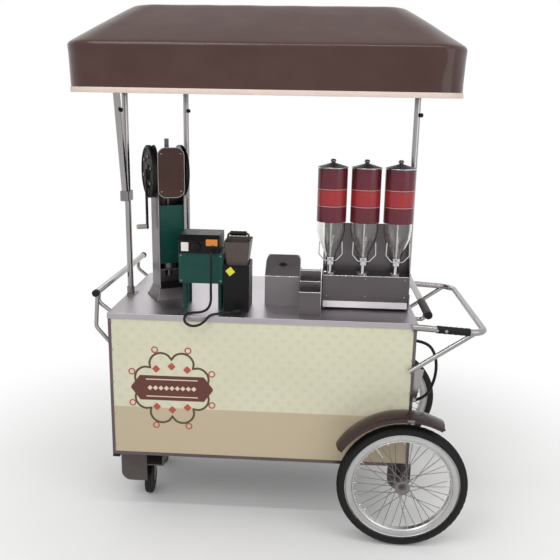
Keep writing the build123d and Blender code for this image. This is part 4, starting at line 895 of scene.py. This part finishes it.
def spoke_nipples(count):
    """A tapered sleeve where each spoke enters the rim, leaning to its side of the hub in turn."""
    alone()
    bpy.ops.mesh.primitive_cone_add(vertices=10, radius1=0.0019, radius2=0.0028, depth=0.013)
    nipple = opened()
    pick(nipple, "FACE", lambda c, n: n.z < -0.9)
    bpy.ops.mesh.inset(thickness=0.0005)
    moved((0.0, 0.0, -0.0012))
    alone(nipple)
    matrices = []
    for i in range(count):
        side = NIPPLE_SIDE if i % 2 else -NIPPLE_SIDE
        lean = seat((NIPPLE_RING, 0.0, side), (1.0, 0.0, -8.0 * side))
        matrices.append(turned(360.0 * i / count) @ lean)
    return scattered(nipple, matrices)


def tube_valve():
    """The tube's valve: a stem with its wider cap, pointing in from the rim."""
    alone()
    length = 0.040
    bpy.ops.mesh.primitive_cylinder_add(vertices=20, radius=0.0032, depth=length)
    stem = opened()
    pick(stem, "FACE", lambda c, n: n.z > 0.9)
    drawn_up(0.0002)
    resized((1.5, 1.5, 1.0), (0.0, 0.0, length / 2))
    pick(stem, "FACE", lambda c, n: n.z > 0.9)
    drawn_up(0.009)
    pick(stem, "FACE", lambda c, n: n.z > 0.9)
    bpy.ops.mesh.inset(thickness=0.0012)
    moved((0.0, 0.0, 0.002))
    return placed(stem, turned(VALVE_TURN) @ seat((VALVE_RING, 0.0, 0.0), (-1.0, 0.0, 0.0)))


class CART_OT_wheels(bpy.types.Operator):
    """The treaded tyres, the rims' lips, the spoke nipples and the tube valves"""
    bl_idname = "cart.wheels"
    bl_label = "Wheels"

    def execute(self, context):
        looks = context.scene.cart_wheel
        tyre, lips, stem = tyre_tread(looks), rim_lips(), tube_valve()
        nipples = spoke_nipples(looks.spokes)
        for name, y in WHEEL_PLACES.items():
            axle = Matrix.Translation(at(AXLE_X, y, AXLE_Z)) @ Matrix.Rotation(radians(90.0), 4, "X")
            for kind, piece, finish, slot, gone in (
                    ("tyre_tread", tyre, "tyre", "tyre_rubber", (name + "_tyre",)),
                    ("rim_lips", lips, "rim", "bright_metal", ()),
                    ("spoke_nipples", nipples, "chrome", "bright_metal", ()),
                    ("tube_valve", stem, "chrome", "bright_metal", ())):
                settled(copied(piece, axle), f"{name}_{kind}", name + "_wheel", finish, 40.0, gone)
        for piece in (tyre, lips, nipples, stem):
            bpy.data.objects.remove(piece)
        return {"FINISHED"}


# Front panel


EMBLEM_X = -351
EMBLEM_Z = 580
LOBE_POINTS = 12
LOBES = 8
FILM = 0.0004
BAND_FILM = 0.0005
BAND_HALF = (0.128, 0.052)
BAND_TIP = 0.036
RING_CIRCLE = 0.173
DROP_PLACES = ((0.0, 0.092), (0.0, -0.092), (-0.062, 0.080), (0.062, 0.080),
               (-0.062, -0.080), (0.062, -0.080))


def on_panel(x, z, proud=0.0):
    """The matrix that lays a film on the front panel, x and z measured from the emblem's middle."""
    middle = at(EMBLEM_X, 0, EMBLEM_Z)
    place = Matrix.Translation((middle.x + x, PANEL_FRONT - proud, middle.z + z))
    return place @ Matrix.Rotation(radians(90.0), 4, "X")


def emblem_frame(radius):
    """A thin frame of round lobes that meet in cusps."""
    alone()
    bpy.ops.mesh.primitive_circle_add(vertices=LOBES * LOBE_POINTS, radius=radius, fill_type="NGON")
    lobes = opened()
    step = 2.0 * pi / (LOBES * LOBE_POINTS)
    for point in range(LOBE_POINTS):
        share = 0.80 + 0.20 * sin(pi * point / LOBE_POINTS) ** 0.7
        pick(lobes, "VERT", lambda co: int(round(atan2(co.y, co.x) / step)) % LOBE_POINTS == point)
        resized((share, share, 1.0))
    pick(lobes, "FACE", lambda c, n: True)
    bpy.ops.mesh.inset(thickness=0.0085)
    bpy.ops.mesh.delete(type="FACE")
    pick(lobes, "FACE", lambda c, n: True)
    drawn_up(FILM)
    return placed(lobes, on_panel(0.0, 0.0))


def emblem_band():
    """A plain band that runs out to a blunt tip at both ends."""
    alone()
    bpy.ops.mesh.primitive_plane_add(size=2.0)
    band = opened((*BAND_HALF, 1.0))
    for side in (-1.0, 1.0):
        pick(band, "EDGE", lambda a, b: min(a.x * side, b.x * side) > BAND_HALF[0] - 0.001)
        drawn_out((side * BAND_TIP, 0.0, 0.0))
        resized((1.0, 0.08, 1.0))
    faced_out()
    drawn_up(BAND_FILM)
    faced_out()
    return placed(band, on_panel(0.0, 0.0))


class CART_OT_panel_print(bpy.types.Operator):
    """The ornament printed on the front panel: a lobed frame, a plain band, rings and lozenges"""
    bl_idname = "cart.panel_print"
    bl_label = "Panel Print"

    def execute(self, context):
        looks = context.scene.cart_print
        settled(emblem_frame(looks.emblem), "panel_emblem_frame", "cart", "plaque_edge")
        settled(emblem_band(), "panel_emblem_band", "cart", "plaque")
        lines = scattered(slab(0.104, 0.0022, 0.002, FILM),
                          [on_panel(0.0, z, BAND_FILM) for z in (-0.036, 0.036)])
        settled(lines, "panel_emblem_lines", "cart", "plaque_line")
        lozenges = scattered(slab(0.0075, 0.0075, 0.002, FILM),
                             [on_panel(0.022 * i, 0.0, BAND_FILM) @ turned(45.0) for i in range(-4, 5)])
        settled(lozenges, "panel_emblem_lozenges", "cart", "plaque_line")
        ring = hoop(0.0115, 0.0028, 28, 8, 0.12)
        bpy.ops.mesh.subdivide(number_cuts=1)
        alone(ring)
        angles = [radians(22.5 + 45.0 * i) for i in range(8)]
        rings = scattered(ring, [on_panel(RING_CIRCLE * cos(a), RING_CIRCLE * sin(a)) for a in angles])
        settled(rings, "panel_emblem_rings", "cart", "plaque_dot")
        drops = scattered(slab(0.012, 0.012, 0.004, FILM),
                          [on_panel(x, z) @ turned(45.0) for x, z in DROP_PLACES])
        settled(drops, "panel_emblem_drops", "cart", "plaque_dot")
        return {"FINISHED"}


# Fryer


HEAD_FRONT = -277
TANK_FRONT = -275
CASING_FRONT = -272
# profiles of screw heads, as stepped takes them: a plain dome, and a dome on a dished washer
DOMED_HEAD = ((1.0, 0.0008), (0.8, 0.0016), (0.45, 0.0008), (0.2, 0.0002))
WASHER_HEAD = ((1.0, 0.0006), (0.82, 0.0014), (0.5, 0.0008), (0.25, 0.0002))


class CART_OT_fryer_fittings(bpy.types.Operator):
    """Blank patches on the fryer, the basket's black handle and the casing's screws"""
    bl_idname = "cart.fryer_fittings"
    bl_label = "Fryer Fittings"

    def execute(self, context):
        for colour, half_x, half_z, turn, x, y, z in (
                ("orange", 0.0225, 0.0130, 0.0, -200, HEAD_FRONT, 1160),
                ("white", 0.0145, 0.0175, 0.0, -306, HEAD_FRONT, 1142),
                ("yellow", 0.0135, 0.0135, 40.0, -128, TANK_FRONT, 1048)):
            patch = placed(slab(half_x, half_z, 0.002, FILM), seat(at(x, y, z), FRONT) @ turned(turn))
            settled(patch, f"fryer_{colour}_patch", "cart", f"{colour}_patch")
        # the handle: a grooved sleeve along the bail's cross bar
        handle = placed(sleeve(0.0098, 0.062, 3), seat(at(-105, -196, 1186), RIGHT))
        settled(handle, "basket_handle_sleeve", "basket", "abs")
        screw = stepped(0.0045, WASHER_HEAD, 16)
        screws = scattered(screw, [seat(at(x, CASING_FRONT, z), FRONT)
                                   for x in (-322, -166) for z in (1006, 1106)])
        settled(screws, "fryer_casing_screws", "cart", "zinc")
        return {"FINISHED"}


# Hand press


PRESS_MIDDLE = (-415, -70, 885)
PRESS_TURN = 27.0
COVER_FRONT = -64
CRANK_Y = 31.3
CRANK_Z = 526
DISC_FACE = 72
DISC_RIM = 0.099
BOLT_CIRCLE = 0.064


def press_place(x, y, z):
    """A place of the hand press, in millimetres about its own axis, as a matrix with the press's turn."""
    middle = Matrix.Translation(at(*PRESS_MIDDLE)) @ turned(PRESS_TURN)
    return middle @ Matrix.Translation((x * MM, y * MM, z * MM))


def cover_bead():
    """A thin bead round the press's cover."""
    alone()
    bpy.ops.mesh.primitive_plane_add(size=2.0)
    bead = opened((0.0552, 0.1007, 1.0))
    bpy.ops.mesh.bevel(offset=0.034, segments=10, affect="VERTICES")
    bpy.ops.mesh.select_all(action="SELECT")
    bpy.ops.mesh.inset(thickness=0.0024)
    bpy.ops.mesh.delete(type="FACE")
    bpy.ops.mesh.select_all(action="SELECT")
    drawn_up(0.0016)
    faced_out()
    return placed(bead, press_place(0, COVER_FRONT, 527.5) @ facing(FRONT))


class CART_OT_press_fittings(bpy.types.Operator):
    """Rims, hub caps and bolts on the press's two discs, its cover's screws and its edges, bright with
    painted highlight
    """
    bl_idname = "cart.press_fittings"
    bl_label = "Press Fittings"

    def execute(self, context):
        rims, bolts = [], []
        bolt = stepped(0.0080, ((1.0, 0.0045), (0.86, 0.0009)), 6)
        for side in (-1, 1):
            face = press_place(side * DISC_FACE, CRANK_Y, CRANK_Z) @ facing((side, 0.0, 0.0))
            rim = hoop(DISC_RIM, 0.0062, 72, 12, 0.7)
            bpy.ops.mesh.subdivide(number_cuts=1)
            hub = stepped(0.030, ((1.0, 0.0020), (0.84, 0.0030), (0.55, 0.0006)), 36)
            rims += [placed(rim, face), placed(hub, face)]
            for i in range(6):
                spot = turned(60.0 * i + 15.0) @ Matrix.Translation((BOLT_CIRCLE, 0.0, 0.0))
                bolts.append(copied(bolt, face @ spot))
        bpy.data.objects.remove(bolt)
        settled(joined(rims), "press_disc_rims", "crank", "iron")
        settled(joined(bolts), "press_disc_bolts", "crank", "zinc")
        screw = stepped(0.0050, DOMED_HEAD, 18)
        screws = scattered(screw, [press_place(x, COVER_FRONT, z) @ facing(FRONT)
                                   for x in (-40, 40) for z in (452, 603)])
        settled(screws, "press_cover_screws", "cart", "zinc")
        # the bead round the cover, and the folded front edges of the column's two sides, paler than the sheet
        # as painted highlight
        edges = scattered(sleeve(0.0021, 0.368), [press_place(x, -60, 239) for x in (-53, 53)])
        settled(joined([cover_bead(), edges]), "press_edges_painted_highlight", "cart", "edge_steel")
        return {"FINISHED"}


# Cabinet, handles, dispenser and small fittings


CABINET_HALF_X = 600
CABINET_HALF_Y = 350
# rivets stand this far in from the cabinet's corners, at these heights
RIVET_IN = 11
RIVET_LEVELS = (330, 465, 600, 735, 850)
HANDLE_GRIP = (733, -364.5, 865.1)
HANDLE_SLOPE = (279.5, 0.0, -16.0)
RAIL_FOAM = (642, -227, 912)
# rolled edges of the three trays, the box's lid and the dispenser's base: left and right end, y, z
SHEET_EDGES = ((144, 228, -300, 980), (144, 228, -242, 1010), (144, 228, -184, 1040),
               (2, 139, -166, 1009), (235, 579, -175, 1022))
BASE_FRONT = -175
DRIP_LIP = (407, -181, 905)
DRIP_TILT = 62.0
HOPPERS_X = (262, 394.5, 527)
HOPPERS_Y = -135
ROD_Z = 1168
LID_RIM_Z = 1450.7
LID_PULL = (70.5, -113, 1046.5)
LID_SLOPE = (0.0, -0.556, 0.831)
CLIP_PLACE = (580.5, 486, 544)
THUMB_SCREWS = ((-578.3, -156.4, 1655), (-401, 321, 1654), (597, -54, 1655))


class CART_OT_edge_rivets(bpy.types.Operator):
    """Rivets along the cabinet's edge angles"""
    bl_idname = "cart.edge_rivets"
    bl_label = "Edge Rivets"

    def execute(self, context):
        rivet = stepped(0.0042, ((1.0, 0.0004), (0.86, 0.0012), (0.55, 0.0009), (0.2, 0.0003)), 16)
        matrices = []
        for side in (-1, 1):
            for end in (-1, 1):
                for z in RIVET_LEVELS:
                    long_side = at(end * (CABINET_HALF_X - RIVET_IN), side * CABINET_HALF_Y, z)
                    short_side = at(side * CABINET_HALF_X, end * (CABINET_HALF_Y - RIVET_IN), z)
                    matrices += [seat(long_side, (0.0, side, 0.0)), seat(short_side, (side, 0.0, 0.0))]
        settled(scattered(rivet, matrices), "edge_angle_rivets", "cart", "zinc")
        return {"FINISHED"}


class CART_OT_handle_grips(bpy.types.Operator):
    """The black grip on the bent handle's front arm and the foam sleeve on the right rail, its dark grey
    partly painted shade
    """
    bl_idname = "cart.handle_grips"
    bl_label = "Handle Grips"

    def execute(self, context):
        grip = placed(sleeve(0.0150, 0.122, 5), seat(at(*HANDLE_GRIP), HANDLE_SLOPE))
        settled(grip, "handle_arm_grip", "cart", "dark")
        # the rail's sleeve: dark grey foam, its tone partly painted shade for the steel in shadow
        foam = placed(sleeve(0.0158, 0.200), seat(at(*RAIL_FOAM), (0.0, 1.0, 0.0)))
        settled(foam, "rail_sleeve_foam_and_painted_shade", "cart", "foam")
        return {"FINISHED"}


class CART_OT_sheet_edges(bpy.types.Operator):
    """Bright rolled edges of the trays, the box's lid and the dispenser's base"""
    bl_idname = "cart.sheet_edges"
    bl_label = "Sheet Edges"

    def execute(self, context):
        edges = []
        for left, right, y, z in SHEET_EDGES:
            edge = sleeve(0.0019, (right - left) * MM)
            edges.append(placed(edge, seat(at((left + right) / 2, y, z), RIGHT)))
        settled(joined(edges), "rolled_sheet_edges", "cart", "chrome")
        return {"FINISHED"}


class CART_OT_dispenser_fittings(bpy.types.Operator):
    """The dispenser's screws and drip lip, its stirring rods and the rims of its lids"""
    bl_idname = "cart.dispenser_fittings"
    bl_label = "Dispenser Fittings"

    def execute(self, context):
        screw = stepped(0.0048, DOMED_HEAD, 18)
        screws = scattered(screw, [seat(at(x, BASE_FRONT, z), FRONT)
                                   for x in (250, 407, 564) for z in (937, 1008)])
        settled(screws, "dispenser_screws", "cart", "zinc")
        # the bright drip lip folded out along the dispenser's foot
        lip = placed(slab(0.170, 0.0135, 0.003, 0.0016),
                     Matrix.Translation(at(*DRIP_LIP)) @ Matrix.Rotation(radians(DRIP_TILT), 4, "X"))
        settled(lip, "dispenser_drip_lip", "cart", "counter")
        # the stirring rod up the middle of each hopper, seen through the clear tank
        rods = scattered(sleeve(0.0042, 0.150, 6),
                         [Matrix.Translation(at(x, HOPPERS_Y, ROD_Z)) for x in HOPPERS_X])
        settled(rods, "hopper_stir_rods", "cart", "chrome")
        # the rolled bright rim of each hopper's lid
        for i, x in enumerate(HOPPERS_X, 1):
            rim = hoop(0.0598, 0.0020, 72, 10, 1.15)
            moved(at(x, HOPPERS_Y, LID_RIM_Z))
            settled(rim, f"hopper_lid_rim_{i}", f"lid_{i}", "chrome")
        return {"FINISHED"}


class CART_OT_small_fittings(bpy.types.Operator):
    """The pull on the box's lid, the fenders' clips and the posts' thumb screws"""
    bl_idname = "cart.small_fittings"
    bl_label = "Small Fittings"

    def execute(self, context):
        pull = placed(slab(0.0105, 0.0095, 0.003, 0.0030), seat(at(*LID_PULL), LID_SLOPE))
        settled(pull, "box_lid_pull", "cart", "dark")
        # a pressed clip on the outer lip of each fender
        x, y, z = CLIP_PLACE
        clips = scattered(slab(0.0135, 0.0040, 0.0012, 0.0014),
                          [seat(at(x, side * y, z), (0.0, side, 0.0)) for side in (-1, 1)])
        settled(clips, "fender_clips", "cart", "zinc")
        # thumb screws that lock the posts under the canopy
        knob = stepped(0.0042, ((1.0, 0.004), (1.9, 0.0), (2.0, 0.0012), (2.0, 0.0068), (1.7, 0.0012)), 20)
        knobs = scattered(knob, [seat(at(*place), (0.7, -0.7, 0.0)) for place in THUMB_SCREWS])
        settled(knobs, "post_thumb_screws", "cart", "dark")
        return {"FINISHED"}


# Finishes on the solids, and the stage


class CART_OT_finishes(bpy.types.Operator):
    """Makes the cart's materials and gives the carried-over solids theirs"""
    bl_idname = "cart.finishes"
    bl_label = "Finishes"

    def execute(self, context):
        make_finishes()
        for finish, names in NODE_FINISH.items():
            for name in names:
                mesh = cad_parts[name].data
                mesh.materials.clear()
                mesh.materials.append(FINISH[finish])
        return {"FINISHED"}


FLOOR_SIZE = 14.0
# the floor's shadow fades to plain white between these distances from the cart's middle
FADE_FROM = 0.9
FADE_TO = 2.2
WHITE = (1.0, 1.0, 1.0, 1.0)
CAMERA_PLACE = (0.135, -2.934, 1.663)
CAMERA_PAN = 3.17
CAMERA_TILT = 13.57
CAMERA_ROLL = 1.07


def seen(tree):
    """A socket that is 1 where the camera sees a surface, straight, in metal or through a clear wall."""
    path = add(tree, "ShaderNodeLightPath").outputs
    both = add(tree, "ShaderNodeMath", {0: path["Is Camera Ray"], 1: path["Is Glossy Ray"]},
               operation="MAXIMUM")
    return add(tree, "ShaderNodeMath", {0: both.outputs[0], 1: path["Is Transmission Ray"]},
               operation="MAXIMUM").outputs[0]


def floor_paper():
    """Seamless matt paper that takes the shadow near the cart and runs out to plain white further off."""
    mat, tree, shader, where = begin_finish("matt_floor_paper", Roughness=0.9, Specular_IOR_Level=0.1)
    cloud = add(tree, "ShaderNodeTexNoise", {"Vector": where, "Scale": per_mm(400.0)})
    tone = add(tree, "ShaderNodeMix", {0: cloud.outputs[0], 6: linear("#f2f2f1"), 7: linear("#f8f8f7")},
               data_type="RGBA")
    tree.links.new(tone.outputs[2], shader.inputs["Base Color"])
    far = add(tree, "ShaderNodeVectorMath", {0: where}, operation="LENGTH")
    out = add(tree, "ShaderNodeMapRange", {"Value": far.outputs["Value"], "From Min": FADE_FROM,
                                           "From Max": FADE_TO}, interpolation_type="SMOOTHSTEP")
    share = add(tree, "ShaderNodeMath", {0: out.outputs[0], 1: seen(tree)}, operation="MULTIPLY")
    white = add(tree, "ShaderNodeEmission", {"Color": WHITE, "Strength": 1.0})
    both = add(tree, "ShaderNodeMixShader", {0: share.outputs[0], 1: shader.outputs[0], 2: white.outputs[0]})
    tree.links.new(both.outputs[0], tree.nodes["Material Output"].inputs["Surface"])
    return mat


def white_surround():
    """A world that lights softly and that the camera sees as plain white."""
    world = bpy.data.worlds.new("studio_surround")
    world.use_nodes = True
    tree = world.node_tree
    tree.nodes.clear()
    soft = add(tree, "ShaderNodeBackground", {"Color": linear("#fbfbfc"), "Strength": 0.72})
    white = add(tree, "ShaderNodeBackground", {"Color": WHITE, "Strength": 1.0})
    both = add(tree, "ShaderNodeMixShader", {0: seen(tree), 1: soft.outputs[0], 2: white.outputs[0]})
    add(tree, "ShaderNodeOutputWorld", {"Surface": both.outputs[0]})
    return world


class CART_OT_stage(bpy.types.Operator):
    """A pale floor, a white surround, soft lamps and the camera at the picture's angle"""
    bl_idname = "cart.stage"
    bl_label = "Stage"

    def execute(self, context):
        looks = context.scene.cart_stage
        context.scene.view_settings.view_transform = "Standard"
        alone()
        bpy.ops.mesh.primitive_plane_add(size=FLOOR_SIZE)
        floor = opened()
        bpy.ops.mesh.subdivide(number_cuts=2)
        alone(floor)
        floor.name = "studio_floor"
        floor.data.materials.append(floor_paper())
        context.scene.world = white_surround()
        for name, place, aim, size, power in (
                ("key_lamp", (-1.2, -3.2, 3.4), (0.0, 0.0, 0.9), (1.6, 1.6), looks.key),
                ("fill_lamp", (2.6, -2.2, 2.0), (0.2, 0.0, 0.8), (2.0, 2.0), looks.fill),
                ("rear_lamp", (-0.5, 3.0, 3.2), (0.0, 0.0, 1.0), (2.0, 2.0), looks.fill),
                ("strip_lamp", (0.0, -1.5, 3.1), (0.0, -0.41, 1.88), (3.0, 0.10), looks.strip)):
            data = bpy.data.lights.new(name, "AREA")
            data.shape = "RECTANGLE"
            data.size, data.size_y = size
            data.energy = power
            lamp = bpy.data.objects.new(name, data)
            lamp.matrix_world = seat(place, Vector(place) - Vector(aim))
            context.collection.objects.link(lamp)
        data = bpy.data.cameras.new("picture_camera")
        data.sensor_width = 36.0
        data.lens = looks.lens
        camera = bpy.data.objects.new("picture_camera", data)
        aim = turned(CAMERA_PAN) @ Matrix.Rotation(radians(90.0 - CAMERA_TILT), 4, "X") @ turned(CAMERA_ROLL)
        camera.matrix_world = Matrix.Translation(CAMERA_PLACE) @ aim
        context.collection.objects.link(camera)
        context.scene.camera = camera
        return {"FINISHED"}


class CART_PT_sidebar(bpy.types.Panel):
    """The cart's pieces in the order in which they are made"""
    bl_label = "Food Cart"
    bl_idname = "CART_PT_sidebar"
    bl_space_type = "VIEW_3D"
    bl_region_type = "UI"
    bl_category = "Food Cart"

    def draw(self, context):
        for operator in OPERATORS:
            self.layout.operator(operator.bl_idname)
        for group in GROUPS:
            box = self.layout.box()
            for name in GROUPS[group].__annotations__:
                box.prop(getattr(context.scene, group), name)


OPERATORS = (CART_OT_finishes, CART_OT_stage, CART_OT_canopy, CART_OT_wheels, CART_OT_cords,
             CART_OT_panel_print, CART_OT_fryer_fittings, CART_OT_press_fittings, CART_OT_edge_rivets,
             CART_OT_handle_grips, CART_OT_sheet_edges, CART_OT_dispenser_fittings, CART_OT_small_fittings)
GROUPS = {
    "cart_canopy": CartCanopySettings,
    "cart_print": CartPrintSettings,
    "cart_wheel": CartWheelSettings,
    "cart_stage": CartStageSettings,
}


def register():
    for group, kind in GROUPS.items():
        bpy.utils.register_class(kind)
        setattr(bpy.types.Scene, group, PointerProperty(type=kind))
    for kind in (*OPERATORS, CART_PT_sidebar):
        bpy.utils.register_class(kind)


def unregister():
    for kind in reversed((*OPERATORS, CART_PT_sidebar)):
        bpy.utils.unregister_class(kind)
    for group, kind in GROUPS.items():
        delattr(bpy.types.Scene, group)
        bpy.utils.unregister_class(kind)


def main():
    register()
    for operator in OPERATORS:
        group, name = operator.bl_idname.split(".")
        getattr(getattr(bpy.ops, group), name)()


if __name__ == "__main__":
    main()
